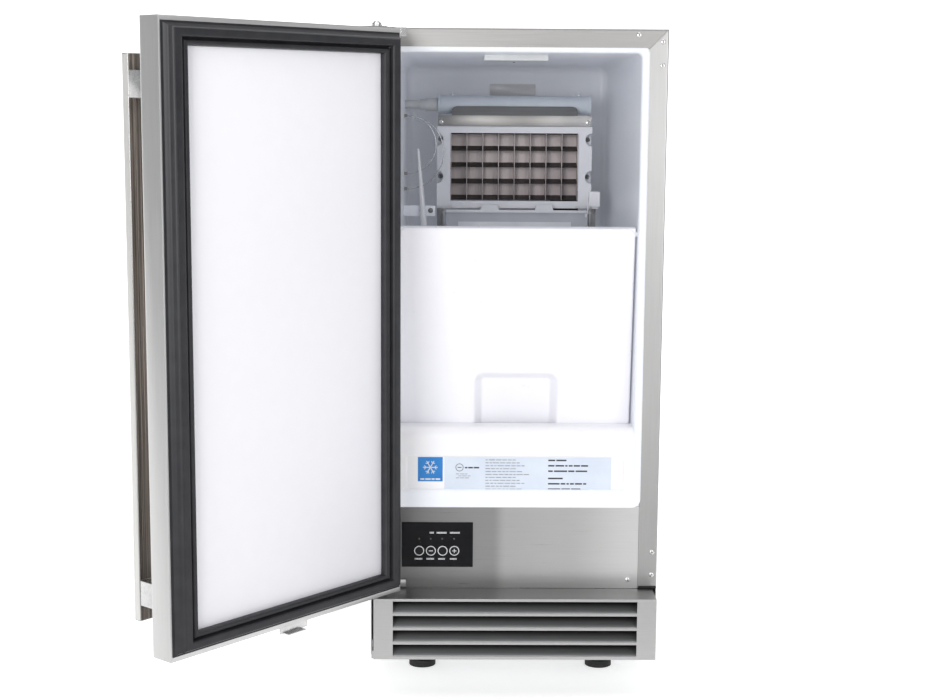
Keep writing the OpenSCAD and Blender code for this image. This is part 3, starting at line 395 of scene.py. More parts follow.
def bin_cover():
    half, up, down = 150.3, 8.0, -258.0
    front, back = -7.0, 7.0
    round_over, corner = 3.2, 11.0
    grip_x, grip_top, grip_half = 1.7, -181.0, 56.0
    slope, grip_deep = 13.0, 12.6
    rows = combine(spaced(down, down + 14, 22), spaced(down + 14, -200, 34), spaced(-200, -170, 26),
                   spaced(-170, up - 5, 40), spaced(up - 5, up, 14))
    across = sorted(set(spaced(-1, -0.955, 16) + spaced(-0.955, -0.40, 40) + spaced(-0.40, -0.24, 24)
                        + spaced(-0.24, 0.26, 34) + spaced(0.26, 0.42, 24) + spaced(0.42, 0.955, 40)
                        + spaced(0.955, 1, 16)))

    def half_at(z):
        rise = corner - (z - down)
        low = corner - math.sqrt(max(0, corner ** 2 - rise ** 2)) if rise > 0 else 0
        return half - low

    def front_y(x, z):
        edge = -rounded_box_distance(x, z, 0, (up + down) / 2, half, (up - down) / 2, corner)
        drop = 0.0
        if edge < round_over:
            edge = max(edge, 0)
            drop = round_over - math.sqrt(max(0, round_over ** 2 - (round_over - edge) ** 2))
        inside = -rounded_box_distance(x, z, grip_x, grip_top - 100, grip_half, 100, 15)
        drop = max(drop, grip_deep * step(inside, 0, slope))
        return min(front + drop, back - 1.2)

    verts = []
    for z in rows:
        w = half_at(z)
        verts += [(t * w, front_y(t * w, z), z) for t in across]
    n = len(verts)
    for z in rows:
        w = half_at(z)
        for t in across:
            x = t * w
            inner = -rounded_box_distance(x, z, 0, (up + down) / 2, half, (up - down) / 2, corner)
            hollow = 9.0 * step(inner, 2.6, 5.0)
            grip = -rounded_box_distance(x, z, grip_x, grip_top - 97, grip_half + 6, 103, 18)
            hollow *= 1 - step(grip, 0, 3)
            verts.append((x, back - hollow, z))
    faces = grid_faces(len(rows), len(across))
    faces += [tuple(i + n for i in reversed(f)) for f in grid_faces(len(rows), len(across))]
    cols, last = len(across), len(rows) - 1
    for c in range(cols - 1):
        faces.append((c + 1, c, c + n, c + 1 + n))
        top = last * cols
        faces.append((top + c, top + c + 1, top + c + 1 + n, top + c + n))
    for r in range(last):
        faces.append((r * cols, (r + 1) * cols, (r + 1) * cols + n, r * cols + n))
        right = cols - 1
        faces.append(((r + 1) * cols + right, r * cols + right, r * cols + right + n,
                      (r + 1) * cols + right + n))
    obj = piece("bin_cover_moulding", verts, faces, "cover_white", "bin_cover",
                COVER_SPACE, smooth=50)
    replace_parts(obj, "bin_cover")
    pin = []
    for side in (-1, 1):
        pin.append(lathe_points([(0, 0), (2.6, 0), (3, 0.4), (3, 7.4), (2.6, 7.8), (0, 7.8)],
                                Vector((side * 148.5, 0, 0)), Vector((side, 0, 0)), 32))
    add_many("bin_cover_trunnions", pin, "cover_white", "bin_cover", COVER_SPACE)


def lathe_points(profile, origin, axis, segments):
    """(verts, faces) of a profile [(radius, along)] turned about axis from origin."""
    axis = axis.normalized()
    side = axis.orthogonal().normalized()
    other = axis.cross(side)
    verts, faces = [], []
    for radius, along in profile:
        for k in range(segments):
            a = 2 * math.pi * k / segments
            verts.append(tuple(origin + axis * along + (side * math.cos(a) + other * math.sin(a)) * radius))
    faces = grid_faces(len(profile), segments, close_cols=True)
    return verts, faces


def add_many(name, parts, look, body, space=None, smooth=35):
    verts, faces = [], []
    for v, f in parts:
        base = len(verts)
        verts += v
        faces += [tuple(i + base for i in face) for face in f]
    return piece(name, verts, faces, look, body, space, smooth)


def box_points(x0, y0, z0, x1, y1, z1, r=0.3):
    """A box with chamfered edges as (verts, faces)."""
    bm = bmesh.new()
    bmesh.ops.create_cube(bm, size=1)
    bmesh.ops.scale(bm, vec=(x1 - x0, y1 - y0, z1 - z0), verts=bm.verts)
    bmesh.ops.translate(bm, vec=((x0 + x1) / 2, (y0 + y1) / 2, (z0 + z1) / 2), verts=bm.verts)
    r = min(r, 0.45 * min(x1 - x0, y1 - y0, z1 - z0))
    bmesh.ops.bevel(bm, geom=bm.edges[:], offset=r, segments=2, profile=0.5, affect="EDGES")
    bm.verts.index_update()
    verts = [tuple(v.co) for v in bm.verts]
    faces = [tuple(v.index for v in f.verts) for f in bm.faces]
    bm.free()
    return verts, faces


bin_cover()


# ---------------------------------------------------------------- steel sheets

HALF, MOUTH_HALF, DEEP, HEIGHT, SHEET = 186.25, 161.55, 549.0, 850.0, 1.0
FOOT_Z, PAN_Z, MITRE_TOP, MITRE_LOW = 134.7, 42.0, 848.7, 824.85


def side_panel(side):
    """The side sheet with its folded front border, mitred at the top."""
    profile = ([((HALF, DEEP - 1.3), (1, 0))] + bend((HALF, 0), (0, 1), (-1, 0), 2.2)
               + [((MOUTH_HALF, 0), (0, -1))])
    rows = [PAN_Z, FOOT_Z, 300, 480, 660, MITRE_TOP]
    outer, inner = [], []
    for z in rows:
        for (x, y), (nx, ny) in profile:
            top = MITRE_TOP - max(0, HALF - SHEET - x) * (MITRE_TOP - MITRE_LOW) / (HALF - SHEET - MOUTH_HALF)
            outer.append((side * x, y, min(z, top)))
            inner.append((side * (x - nx * SHEET), y - ny * SHEET, min(z, top)))
    skipped = {(0, c) for c in range(2, len(profile) - 1)}
    verts, faces = shell(outer, inner, len(profile), skipped)
    name = "side_panel_" + ("right" if side > 0 else "left")
    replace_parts(piece(name + "_sheet", verts, faces, "steel_side", "cabinet"), name)


def top_panel():
    profile = ([((DEEP, HEIGHT), (0, 1))] + bend((0, HEIGHT), (1, 0), (0, -1), 2.2)
               + [((0, 825.3), (-1, 0))])
    outer, inner = [], []
    for (y, z), (ny, nz) in profile:
        half = HALF if y > 2.19 else min(184.95, MOUTH_HALF + (z - 825.3) * 0.9936)
        for t in (-1, -0.5, 0, 0.5, 1):
            outer.append((t * half, y, z))
            inner.append((t * half, y - ny * SHEET, z - nz * SHEET))
    verts, faces = shell(outer, inner, 5)
    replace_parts(piece("top_panel_sheet", verts, faces, "steel_top_painted_shade", "cabinet"), "top_panel")


def control_panel():
    """The fascia with its folded top edge and the opening behind the display window."""
    profile = ([((0, 133.0), (-1, 0)), ((0, 163.0), (-1, 0)), ((0, 219.0), (-1, 0))]
               + bend((0, 242), (0, -1), (1, 0), 1.4) + [((18, 242), (0, 1))])
    columns = [-161.25, -144, -55, 50, 161.25]
    outer, inner = [], []
    for (y, z), (ny, nz) in profile:
        for x in columns:
            outer.append((x, y, z))
            inner.append((x, y - ny * SHEET, z - nz * SHEET))
    verts, faces = shell(outer, inner, len(columns), {(1, 1)})
    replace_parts(piece("control_panel_sheet", verts, faces, "steel_panel", "cabinet"),
                "control_panel")


def kick_plate():
    """The plinth's front and ledge in one folded sheet with the louvre openings, and its two ends."""
    half, front, top, low, slot_half = 180.6, -49.6, 132.7, 52.7, 156
    profile = [((-0.3, top), (0, 1))] + bend((front, top), (1, 0), (0, -1), 1.3, 6)
    open_rows = set()
    for i in range(4):
        z = top - 3.4 - i * 18.95
        open_rows.add(len(profile))
        profile += [((front, z), (-1, 0)), ((front, z - 15.6), (-1, 0))]
    profile.append(((front, low), (-1, 0)))
    columns = [-half, -slot_half, slot_half, half]
    outer, inner = [], []
    for (y, z), (ny, nz) in profile:
        for x in columns:
            outer.append((x, y, z))
            inner.append((x, y - ny * SHEET, z - nz * SHEET))
    verts, faces = shell(outer, inner, len(columns), {(r, 1) for r in open_rows})
    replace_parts(piece("kick_plate_front", verts, faces, "steel_kick", "cabinet"),
                "kick_plate")
    ends = [box_points(side * (half - 0.5) - 0.5, front + 1.1, low,
                       side * (half - 0.5) + 0.5, -0.3, top - 1.1, 0.3) for side in (-1, 1)]
    add_many("kick_plate_ends", ends, "steel_kick", "cabinet")


side_panel(-1)
side_panel(1)
kick_plate()
top_panel()
control_panel()


# ---------------------------------------------------------------- evaporator

HEAD_X = 7.1      # middle of the ice-making head, across the cabinet


def evaporator():
    """Sloping fins between upright ones in front of the cold plate."""
    half, x0, low, cell_w, cell_h, front = 91.0, HEAD_X, 621.1, 22.75, 23.5, 301.0
    back = [box_points(x0 - half, front + 21, low, x0 + half, front + 23, low + 4 * cell_h + 4, 0.3)]
    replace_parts(add_many("evaporator_plate", back, "cell_back", "cabinet"),
                "evaporator_grid")
    sloped = []
    for row in range(5):
        z = low + row * cell_h - 0.8
        section_yz = [(0.3, 0.0), (0.0, 0.3), (0.0, 1.0), (0.3, 1.3), (20.8, 6.4), (20.8, 4.6)]
        xs = spaced(x0 - half + 0.1, x0 + half - 0.1, 3)
        verts = [(x, front + y, z + h) for x in xs for y, h in section_yz]
        faces = grid_faces(3, 6, close_cols=True) + [tuple(range(6)), tuple(range(17, 11, -1))]
        sloped.append((verts, faces))
    # the sloping fins are coloured near black: painted shade
    add_many("evaporator_rows", sloped, "fin_painted_shade", "cabinet", smooth=30)
    upright = [box_points(x0 - half + i * cell_w - 0.45, front - 0.6, low - 0.6,
                          x0 - half + i * cell_w + 0.45, front + 20.9, low + 4 * cell_h + 0.4, 0.2)
               for i in range(9)]
    add_many("evaporator_columns", upright, "fin_pale", "cabinet")


def distributor_cover():
    """A lower band and a leaning upper lip with rounded ends."""
    x0, y = HEAD_X, 298.0
    lower = [box_points(x0 - 110, y, 726, x0 + 110, y + 1, 741.2, 0.35)]
    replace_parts(add_many("distributor_band", lower, "cover_steel", "cabinet"),
                "distributor_cover")
    rows = spaced(0, 13, 12)
    outer, inner = [], []
    for h in rows:
        drop = max(0, h - 6.0)
        half = 90 - 7 + math.sqrt(max(0, 49 - drop * drop))
        for t in spaced(-1, 1, 9):
            outer.append((x0 + t * half, y + 0.3 + h * 0.31, 741 + h))
            inner.append((x0 + t * half, y + 1.3 + h * 0.31, 741 + h))
    verts, faces = shell(outer, inner, 9)
    # the lip takes the darker copy of the cover steel: painted shade
    piece("distributor_lip", verts, faces, "cover_lip_painted_shade", "cabinet")


def slab(outline, y0, y1, chamfer=0.4):
    """A flat piece with the given (x, z) outline between two depths, its edges eased."""
    count = len(outline)
    cx = sum(p[0] for p in outline) / count
    cz = sum(p[1] for p in outline) / count
    verts = []
    for y, inset in ((y0, chamfer), (y0 + chamfer, 0), (y1 - chamfer, 0), (y1, chamfer)):
        for x, z in outline:
            d = math.hypot(x - cx, z - cz)
            verts.append((x - (x - cx) / d * inset, y, z - (z - cz) / d * inset))
    faces = grid_faces(4, count, close_cols=True)
    return verts, faces + [tuple(range(count)), tuple(reversed(range(3 * count, 4 * count)))]


def splash_flap():
    """The hanging plate with its bright lip, two rounded stops, an inner panel, arm and pins."""
    x0, y0, z0, half = 10.8, 291.0, 603.0, 101.0
    line = [(-5.0, 1.5), (-5.0, -0.3), (-4.2, -0.9), (-3.3, -2.4), (-2.8, -6), (-2.5, -12), (-2.5, -41.6),
            (-2.2, -42), (-1.3, -42), (-1.0, -41.6), (-1.0, -11.5), (-0.6, -5), (0.0, 0.6), (-0.5, 1.5)]
    verts = [(x, y0 + y, z0 + z) for x in spaced(x0 - half, x0 + half, 5) for y, z in line]
    n = len(line)
    ends = [tuple(range(n)), tuple(reversed(range(4 * n, 5 * n)))]
    plate = (verts, grid_faces(5, n, close_cols=True) + ends)
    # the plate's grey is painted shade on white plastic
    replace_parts(add_many("splash_flap_plate", [plate], "flap", "splash_flap"),
                "splash_flap")
    lip = [box_points(x0 - half, y0 - 5.6, z0 + 0.2, x0 + half, y0 - 3.6, z0 + 4.0, 0.5)]
    for x in (-27.9, 49.9):
        stop = [(x - 15.5, z0 + 0.6), (x - 13.5, z0 + 3)]
        for side, angles in ((-1, (0, 30, 60, 90)), (1, (90, 60, 30, 0))):
            for a in angles:
                round_x = 2.4 * math.cos(math.radians(a))
                stop.append((x + side * (9.4 + round_x), z0 + 9.4 + 2.2 * math.sin(math.radians(a))))
        stop += [(x + 13.5, z0 + 3), (x + 15.5, z0 + 0.6)]
        lip.append(slab(stop, y0 - 5.0, y0 - 2.6))
    lip.append(box_points(x0 + half, y0 - 4.5, z0 - 6, x0 + half + 2, y0 - 2, z0 + 24, 0.5))
    lip.append(box_points(x0 + half - 3, y0 - 4.5, z0 - 6, x0 + half + 2, y0 + 1.2, z0 - 1, 0.4))
    lip.append(box_points(x0 - 84, y0 - 3.3, z0 - 40, x0 + 78, y0 - 2.3, z0 - 13, 0.4))
    for side in (-1, 1):
        lip.append(lathe_points([(0, 0), (1.7, 0), (2, 0.3), (2, 6.7), (1.7, 7), (0, 7)],
                                Vector((x0 + side * (half - 1), y0, z0)), Vector((side, 0, 0)), 24))
    add_many("splash_flap_lip", lip, "flap_inner", "splash_flap")


def bulb_bracket():
    """A small plate with two dark screws beside the bin level bulb."""
    plate = [box_points(-152.2, 282.0, 598, -106, 283.4, 613, 0.4)]
    add_many("bulb_bracket", plate, "cavity", "cabinet")
    dark = [lathe_points([(0, 0), (3.6, 0), (3.6, 0.8), (2.6, 1.9), (0, 2.1)], Vector((x, 282.0, 606)),
                         Vector((0, -1, 0)), 28) for x in (-124.5, -112.7)]
    add_many("bulb_bracket_screws", dark, "notch_steel", "cabinet", smooth=50)
    dot = [lathe_points([(0, 0), (1.8, 0), (1.8, 0.6), (1.2, 1.0), (0, 1.1)], Vector((0, 168, 813.2)),
                        Vector((0, 0, -1)), 24)]
    add_many("lamp_screw", dot, "notch_steel", "cabinet", smooth=50)
    # black strips in front of the frame's feet stand in for the shadow in the gap above the ledge: painted
    # shadow
    gap_shade_pads = [box_points(side * 174 - 11.5, -0.9, 133.0, side * 174 + 11.5, -0.2, 136.2, 0.2)
            for side in (-1, 1)]
    add_many("frame_foot_gap_shade", gap_shade_pads, "rubber", "cabinet")


evaporator()
distributor_cover()
splash_flap()
bulb_bracket()


# ---------------------------------------------------------------- white cavity

MOUTH, BACK_HALF, TOP, BACK_TOP, FLOOR, BACK_Y = 155.0, 151.5, 822.3, 815.0, 262.0, 420.0
RIM, RIM_TOP, RIM_LOW, SILL_TOP, SILL_BACK = 161.2, 825.0, 242.3, 345.0, 36.5


def section(y, shrink, radius, count=12):
    """A rounded rectangle of the cavity at depth y, drawn in by shrink."""
    t = min(1.0, max(0.0, (y - 1) / (BACK_Y - 1)))
    half = MOUTH + (BACK_HALF - MOUTH) * t - shrink
    top = TOP + (BACK_TOP - TOP) * t - shrink
    low = FLOOR - 4 * t + shrink
    radius = max(radius, 1.0)
    points = []
    for sx, sz, a0 in ((1, 1, 0), (-1, 1, 90), (-1, -1, 180), (1, -1, 270)):
        cx = sx * (half - radius)
        cz = (top - radius) if sz > 0 else (low + radius)
        for k in range(count):
            a = math.radians(a0 + 90 * k / (count - 1))
            points.append((cx + radius * math.cos(a), y, cz + radius * math.sin(a)))
    return points


def liner():
    """The moulded cavity: a flange, a rounded mouth, walls that ease to a rounded back."""
    rings = []
    # flange round the mouth, then a small round into the cavity
    for grow, y in ((6.2, 3.6), (6.2, 1.5), (5.8, 1.05), (4.0, 1.0), (2.6, 1.0)):
        ring = []
        for x, _, z in section(1, 0, 9):
            ex = max(-RIM, min(RIM, x + math.copysign(grow, x)))
            ez = min(RIM_TOP, z + grow) if z > 500 else max(RIM_LOW, z - 19.7)
            ring.append((ex, y, ez))
        rings.append(ring)
    for k in range(5):
        a = math.radians(90 * k / 4)
        rings.append(section(1 + 2.4 * (1 - math.cos(a)), -2.4 + 2.4 * math.sin(a), 9))
    for y in spaced(8, BACK_Y - 16, 26):
        rings.append(section(y, 0, 9 + 9 * step(y, 8, 120)))
    depth = 13
    for k in range(1, 11):
        a = math.radians(90 * k / 10)
        rings.append(section(BACK_Y - depth + depth * math.sin(a), depth * (1 - math.cos(a)),
                             18 - 2 * math.sin(a)))
    verts = [p for ring in rings for p in ring]
    cols = len(rings[0])
    faces = grid_faces(len(rings), cols, close_cols=True)
    faces.append(tuple(range((len(rings) - 1) * cols, len(rings) * cols)))
    # the shell's white glows faintly: painted light
    obj = piece("liner_shell", verts, faces, "cavity", "cabinet", smooth=60)
    thick = obj.modifiers.new("thickness", "SOLIDIFY")
    thick.thickness = 0.0022
    thick.offset = 1.0
    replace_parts(obj, "liner")


def sill():
    """The front wall of the bin with its rounded top and the label recess."""
    radius = 13.0
    half = RIM
    track = []  # (depth, height, on front face)
    for z in combine(spaced(RIM_LOW, 254, 10), spaced(254, 262, 16), spaced(262, 303, 16),
                     spaced(303, 312, 16), spaced(312, SILL_TOP - radius, 10)):
        track.append((1.0, z, True))
    for k in range(1, 13):
        a = math.radians(90 * k / 12)
        track.append((1 + radius * (1 - math.cos(a)), SILL_TOP - radius + radius * math.sin(a), False))
    for y in spaced(17, SILL_BACK - 2, 6):
        track.append((y, SILL_TOP, False))
    for k in range(1, 7):
        a = math.radians(90 * k / 6)
        track.append((SILL_BACK - 2 + 2 * math.sin(a), SILL_TOP - 2 + 2 * math.cos(a), False))
    track.append((SILL_BACK, 262.0, False))
    xs = combine(spaced(-half, -146, 8), spaced(-146, -134, 20), spaced(-134, 134, 60),
                 spaced(134, 146, 20), spaced(146, half, 8))
    verts = []
    for y, z, front in track:
        for x in xs:
            dent = 0.0
            if front:
                inside = -rounded_box_distance(x, z, 0.2, 282.6, 141, 25.8, 4)
                dent = 2.0 * step(inside, 0, 2.6)
            limit = MOUTH + 0.6 if z > FLOOR + 2 else half
            verts.append((max(-limit, min(limit, x)) if y > 1.2 or z > 330 else x, y + dent, z))
    faces = grid_faces(len(track), len(xs))
    return piece("liner_sill", verts, faces, "white", "cabinet", smooth=60)


liner()
sill()

# ---------------------------------------------------------------- door gasket and handle

DOOR_LOW, DOOR_HIGH = (-183.7, 147.0), (186.0, 846.0)
DOOR_BACK = -13.6


def gasket():
    """The moulded seal swept round the door's inside with mitred corners."""
    profile = [(2.4, 0.12), (2.4, 0.7), (5.2, 1.0), (6.2, 2.6), (8.2, 4.0), (9.4, 6.4), (10.4, 9.6),
               (11.6, 11.2),
               (13.0, 12.0), (15.0, 12.15), (19.5, 12.15), (21.6, 11.9), (22.8, 11.0), (23.4, 9.0),
               (23.8, 6.6), (24.4, 5.0), (25.2, 4.4), (26.0, 5.0), (26.6, 6.6), (27.4, 8.0),
               (28.8, 8.8), (30.8, 8.9), (32.6, 8.1), (34.0, 6.2), (34.7, 3.2), (34.8, 0.12)]
    verts = []
    for inset, rise in profile:
        y = DOOR_BACK + rise
        top = 7.5 + (inset - 5.2) * 0.794
        low = 7.5 + (inset - 5.2) * 0.726
        x0, x1 = DOOR_LOW[0] + inset, DOOR_HIGH[0] - inset
        z0, z1 = DOOR_LOW[1] + low, DOOR_HIGH[1] - top
        verts += [(x0, y, z0), (x1, y, z0), (x1, y, z1), (x0, y, z1)]
    faces = grid_faces(len(profile), 4, close_rows=True, close_cols=True)
    return piece("gasket_profile", verts, faces, "gasket", "cabinet", smooth=45)


def hang(obj):
    """Moves a piece drawn on the shut door to the open door, and lets it ride there."""
    obj.data.transform(obj.matrix_world)
    obj.parent = None
    obj.matrix_world = Matrix.Identity(4)
    obj.data.transform(SWING)
    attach(obj, "door")
    return obj


seal = hang(gasket())
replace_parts(seal, "door_gasket")


def paint_handle_reflections():
    """Thin facings on the polished handle bar carrying painted reflection: dark towards the door, a painted
    highlight on the outer edge.
    """
    spans = [(176.5, 193.7), (223.9, 760.1), (790.3, 807.5)]
    dark_reflections = [box_points(141.4, -84.9, z0, 169.0, -84.6, z1, 0.1) for z0, z1 in spans]
    hang(add_many("handle_bar_back_reflection", dark_reflections, "handle_dark_reflection", "cabinet"))
    edge = [box_points(170.25, -94.6, 176.5, 170.45, -85.4, 807.5, 0.08)]
    hang(add_many("handle_bar_edge_highlight", edge, "handle_edge_highlight", "cabinet"))


paint_handle_reflections()


# ---------------------------------------------------------------- screws

def screw_master(head_r=3.4, head_h=1.7):
    """A domed pan head, outwards along -Y, as (verts, faces)."""
    profile = [(head_r, 0.0), (head_r, 0.45), (head_r * 0.97, 0.8), (head_r * 0.86, 1.2),
               (head_r * 0.66, 1.5), (head_r * 0.4, head_h - 0.05), (head_r * 0.18, head_h),
               (0.01, head_h)]
    return lathe_points(profile, Vector((0, 0, 0)), Vector((0, -1, 0)), 40)


def cross_points(reach=1.7, width=0.55, y=-1.82):
    """A dark cross lying on a screw head: painted shade standing in for the recess."""
    parts = []
    for a, b in ((reach, width / 2), (width / 2, reach)):
        parts.append(box_points(-a, y, -b, a, y + 0.5, b, 0.08))
    verts = parts[0][0] + parts[1][0]
    base = len(parts[0][0])
    faces = parts[0][1] + [tuple(i + base for i in f) for f in parts[1][1]]
    return verts, faces


def placed(shape, centre, turn=0.0):
    """A shape turned about the Y axis and moved to a centre."""
    verts, faces = shape
    c, s = math.cos(turn), math.sin(turn)
    moved = [(x * c - z * s + centre[0], y + centre[1], x * s + z * c + centre[2]) for x, y, z in verts]
    return moved, faces


FACE_SCREWS = [(148.6, 842.7), (178.8, 834.5), (178.8, 805.3), (179.2, 181.7), (179.2, 151.6),
               (-178.8, 805.3), (-179.2, 181.7), (-179.2, 155), (148.2, 144.4)]
EV_Y = 300.0
heads, notch_heads, recess_shades = [], [], []
for i, (x, z) in enumerate(FACE_SCREWS):
    heads.append(placed(screw_master(), (x, 0, z)))
    recess_shades.append(placed(cross_points(), (x, 0, z), 0.4 + i * 0.9))
for side in (-1, 1):
    heads.append(placed(screw_master(), (HEAD_X + side * 105, EV_Y - 2, 731.5)))
    recess_shades.append(placed(cross_points(), (HEAD_X + side * 105, EV_Y - 2, 731.5), 0.3 * side))
    for z in (707, 653.5):
        notch_heads.append(placed(screw_master(), (HEAD_X + side * 106.2, EV_Y + 17, z)))
        recess_shades.append(placed(cross_points(), (HEAD_X + side * 106.2, EV_Y + 17, z), 0.7 + z))
screws = add_many("screw_heads", heads, "screw", "cabinet", smooth=50)
# dark crosses on the heads: painted shade for the screw recesses
add_many("screw_recess_shades", recess_shades, "dark", "cabinet")
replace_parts(screws, "screws")
add_many("notch_screw_heads", notch_heads, "notch_steel", "cabinet", smooth=50)


# ---------------------------------------------------------------- display

def ring_points(x, z, y, r0, r1, high=0.12, segments=48):
    """A thin flat ring facing the front, as (verts, faces)."""
    profile = [(r0, 0), (r0, high), (r1, high), (r1, 0)]
    verts, _ = lathe_points(profile, Vector((x, y, z)), Vector((0, -1, 0)), segments)
    faces = grid_faces(4, segments, close_rows=True, close_cols=True)
    return verts, faces


BUTTONS = [-123.3 + 15.2 * i for i in range(4)]
BUTTON_Z, GLASS = 182.7, -1.0
print_parts = [ring_points(x, BUTTON_Z, GLASS, 5.4, 6.4) for x in BUTTONS]
for x, words in zip(BUTTONS, ((4, 5), (5, 4), (6, 3), (3, 6))):
    left = x - 5.6
    for k in range(7):
        wide = 0.75 + 0.35 * ((k * words[0]) % 3) / 2
        print_parts.append(box_points(left, GLASS - 0.1, 170.8, left + wide, GLASS + 0.05, 173.0, 0.04))
        left += wide + 0.55
for start, count in ((-109.6, 4), (-100.6, 9), (-83.4, 9)):
    left = start
    for k in range(count):
        wide = 0.8 + 0.3 * ((k * 5) % 3) / 2
        print_parts.append(box_points(left, GLASS - 0.1, 205.6, left + wide, GLASS + 0.05, 207.9, 0.04))
        left += wide + 0.5
add_many("display_print", print_parts, "print_white", "cabinet")
leds = [lathe_points([(0, 0), (1.5, 0), (1.5, 0.1), (1.1, 0.35), (0, 0.42)], Vector((x, GLASS, 198.6)),
                     Vector((0, -1, 0)), 32) for x in (-123.3, -108.4, -93.4, -77.9)]
add_many("status_lights", leds, "led_off", "cabinet", smooth=60)
for name, x, bars in (("button_minus", BUTTONS[1], ((2.6, 0.5),)),
                      ("button_plus", BUTTONS[3], ((2.6, 0.5), (0.5, 2.6)))):
    marks = [box_points(x - a, -1.72, BUTTON_Z - b, x + a, -1.55, BUTTON_Z + b, 0.05) for a, b in bars]
    add_many(name + "_mark", marks, "print_white", name)


# ---------------------------------------------------------------- labels

def lines(x, z, widths, height, y, gap=1.1):
    """A row of plain bars that stands in for a line of print."""
    out, left = [], x
    for w in widths:
        out.append(box_points(left, y - 0.06, z, left + w, y + 0.05, z + height, 0.03))
        left += w + gap
    return out


LABEL_Y = 2.75
pale, bold = [], []
for row in range(11):
    words = [3 + (row * 7 + k * 5) % 6 for k in range(6 + row % 3)]
    pale += lines(-38, 302 - row * 3.85, words, 1.15, LABEL_Y, 1.2)
for row in range(3):
    pale += lines(-76 + 3 * (row % 2), 283.5 - row * 2.6, [4, 6, 3 + row], 0.9, LABEL_Y, 0.9)
pale += lines(-76, 262.5, [6, 4, 7], 1.1, LABEL_Y, 1.0)
for row, words in enumerate(([9, 13], [8, 11, 3, 5, 8, 9], [6, 17, 8, 15], [19], [15, 6, 3, 5, 9, 4],
                             [16, 11, 12])):
    bold += lines(43, 301.2 - row * 7.1 - (2.5 if row > 2 else 0), words, 2.0, LABEL_Y, 1.5)
bold += [ring_points(-71.5, 292.5, LABEL_Y, 4.4, 5.1, 0.06)]
bold += lines(-74, 292.0, [5], 1.0, LABEL_Y)
bold += lines(-64.5, 291.3, [3, 6, 7], 1.9, LABEL_Y, 1.2)
add_many("rating_label_rules", pale, "ink_pale", "cabinet")
add_many("rating_label_marks", bold, "ink", "cabinet")
flake = []
for k in range(3):
    arm = box_points(-9.5, 0, -0.55, 9.5, 0.1, 0.55, 0.04)
    flake.append(placed(arm, (-109.2, LABEL_Y - 0.08, 292.5), math.radians(60 * k)))
    for end in (-1, 1):
        for lean in (-50, 50):
            twig = placed(box_points(0, 0, -0.45, 3.4, 0.1, 0.45, 0.04), (end * 5.6, 0, 0),
                          math.radians(lean if end > 0 else 180 + lean))
            flake.append(placed(twig, (-109.2, LABEL_Y - 0.08, 292.5), math.radians(60 * k)))
flake += lines(-122, 276.0, [5, 7, 4, 6], 2.0, LABEL_Y - 0.03, 1.2)
add_many("blue_label_flake", flake, "print_white", "cabinet")


# ---------------------------------------------------------------- small fittings

nubs = []
for x in (-82, 100):
    nubs.append(lathe_points([(3.2, 0), (3.2, 1.8), (2.4, 2.4), (1.4, 4.4), (0, 4.6)],
                             Vector((x, 318, 768.6)), Vector((0, 0, 1)), 24))
for x in (-102.9, 117.1):
    nubs.append(lathe_points([(13.2, 0), (14.0, 0.4), (14.0, 3.4), (13.2, 3.8), (13.2, 3.9)],
                             Vector((x if x < 0 else x - 4, 318, 756)), Vector((1, 0, 0)), 48))
add_many("distributor_nubs", nubs, "tube", "cabinet")


# ---------------------------------------------------------------- stage, light and camera

def studio_floor():
    """A pale floor that curves up into a backdrop and gives off a little light of its own."""
    half, rise, radius, turn = 9.0, 6.0, 1.6, 2.6
    path = [(-half, 0.0), (-2.2, 0.0), (-0.6, 0.0)]
    for a in range(0, 91, 6):
        a = math.radians(a)
        path.append((turn + radius * math.sin(a), radius * (1 - math.cos(a))))
    path.append((turn + radius, rise))
    mesh = bpy.data.meshes.new("studio_floor")
    mesh.from_pydata([(x, y, z) for x in (-half, half) for y, z in path], [],
                     grid_faces(2, len(path)))
    for face in mesh.polygons:
        face.use_smooth = True
    mesh.materials.append(floor_material())
    obj = bpy.data.objects.new("studio_floor", mesh)
    bpy.context.scene.collection.objects.link(obj)
    return obj


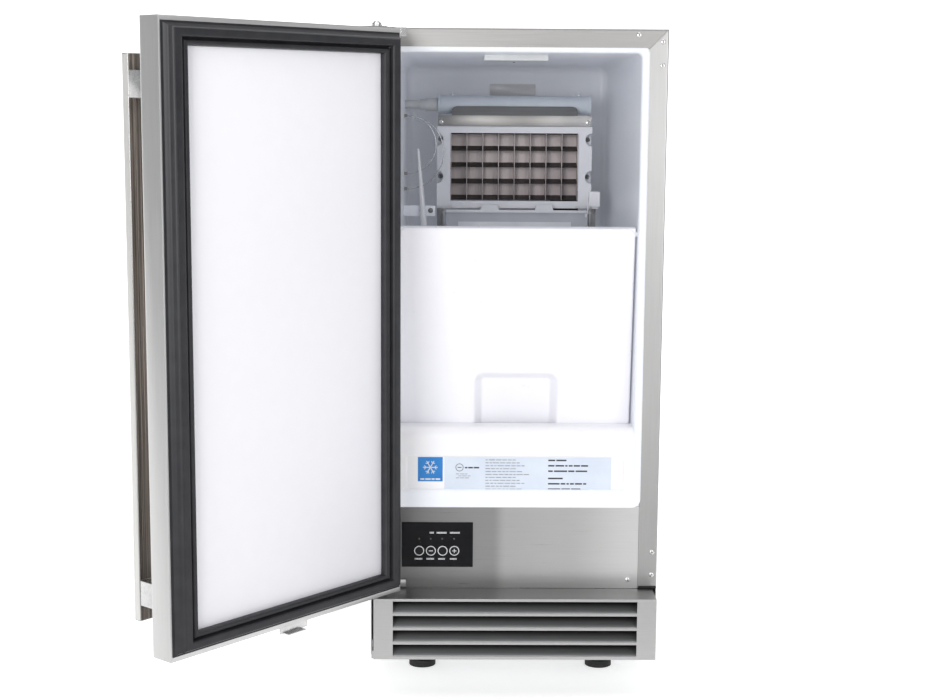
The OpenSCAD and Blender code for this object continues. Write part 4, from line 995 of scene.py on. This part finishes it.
def floor_material():
    """White whose own light grows from none in front of the unit to full behind it."""
    m = material("studio_white", (0.80, 0.80, 0.80), (0.82, 0.82, 0.82), 0.9, 0, 2,
                 glow=((1, 1, 1), 0.3))
    tree = m.node_tree
    place = tree.nodes.new("ShaderNodeTexCoord")
    parts = tree.nodes.new("ShaderNodeSeparateXYZ")
    reach = tree.nodes.new("ShaderNodeMapRange")
    reach.inputs["From Min"].default_value = -2.0
    reach.inputs["From Max"].default_value = 2.0
    ramp = tree.nodes.new("ShaderNodeValToRGB")
    elements = ramp.color_ramp.elements
    for position, value in ((0.27, 0.0), (0.41, 0.56), (0.53, 0.56), (0.9, 1.0)):
        elements.new(position).color = (value, value, value, 1)
    elements.remove(elements[0])
    elements.remove(elements[-1])
    tree.links.new(place.outputs["Object"], parts.inputs[0])
    tree.links.new(parts.outputs["Y"], reach.inputs["Value"])
    tree.links.new(reach.outputs["Result"], ramp.inputs["Fac"])
    tree.links.new(ramp.outputs["Color"], tree.nodes["Principled BSDF"].inputs["Emission Strength"])
    return m


studio_floor()

world = bpy.data.worlds.new("studio_air")
world.use_nodes = True
world.node_tree.nodes["Background"].inputs["Color"].default_value = (0.97, 0.98, 1.0, 1)
world.node_tree.nodes["Background"].inputs["Strength"].default_value = 0.40
bpy.context.scene.world = world


def area(name, place, target, size, power):
    """A rectangular studio light that points at a target."""
    light = bpy.data.lights.new(name, "AREA")
    light.shape = "RECTANGLE"
    light.size, light.size_y = size
    light.energy = power
    obj = bpy.data.objects.new(name, light)
    obj.location = place
    obj.rotation_euler = (Vector(target) - Vector(place)).to_track_quat("-Z", "Y").to_euler()
    bpy.context.scene.collection.objects.link(obj)


area("key", (-1.35, -3.65, 1.05), (0, -0.1, 0.6), (1.5, 1.5), 52)
area("fill", (1.5, -3.3, 1.1), (0, -0.2, 0.5), (1.6, 1.6), 24)
area("top", (0, -0.6, 3.4), (0, -0.2, 0.3), (3.0, 3.0), 34)
bpy.context.scene.view_settings.view_transform = "Standard"

CAMERA_AT = (-0.08922, -2.37052, 0.75346)
CAMERA_TURN = (0.7074, 8.4014, 0.3715)      # yaw, pitch down and roll in degrees
camera = bpy.data.objects.new("camera", bpy.data.cameras.new("camera"))
yaw, pitch, roll = (math.radians(a) for a in CAMERA_TURN)
forward = Vector((math.sin(yaw) * math.cos(pitch), math.cos(yaw) * math.cos(pitch), -math.sin(pitch)))
right = Vector((math.cos(yaw), -math.sin(yaw), 0))
up = right.cross(forward)
turned = right * math.cos(roll) + up * math.sin(roll)
raised = -right * math.sin(roll) + up * math.cos(roll)
view = Matrix((turned, raised, -forward)).transposed().to_4x4()
camera.matrix_world = Matrix.Translation(CAMERA_AT) @ view
camera.data.lens = 63.62
camera.data.sensor_width = 36
camera.data.clip_end = 60
bpy.context.scene.collection.objects.link(camera)
bpy.context.scene.camera = camera
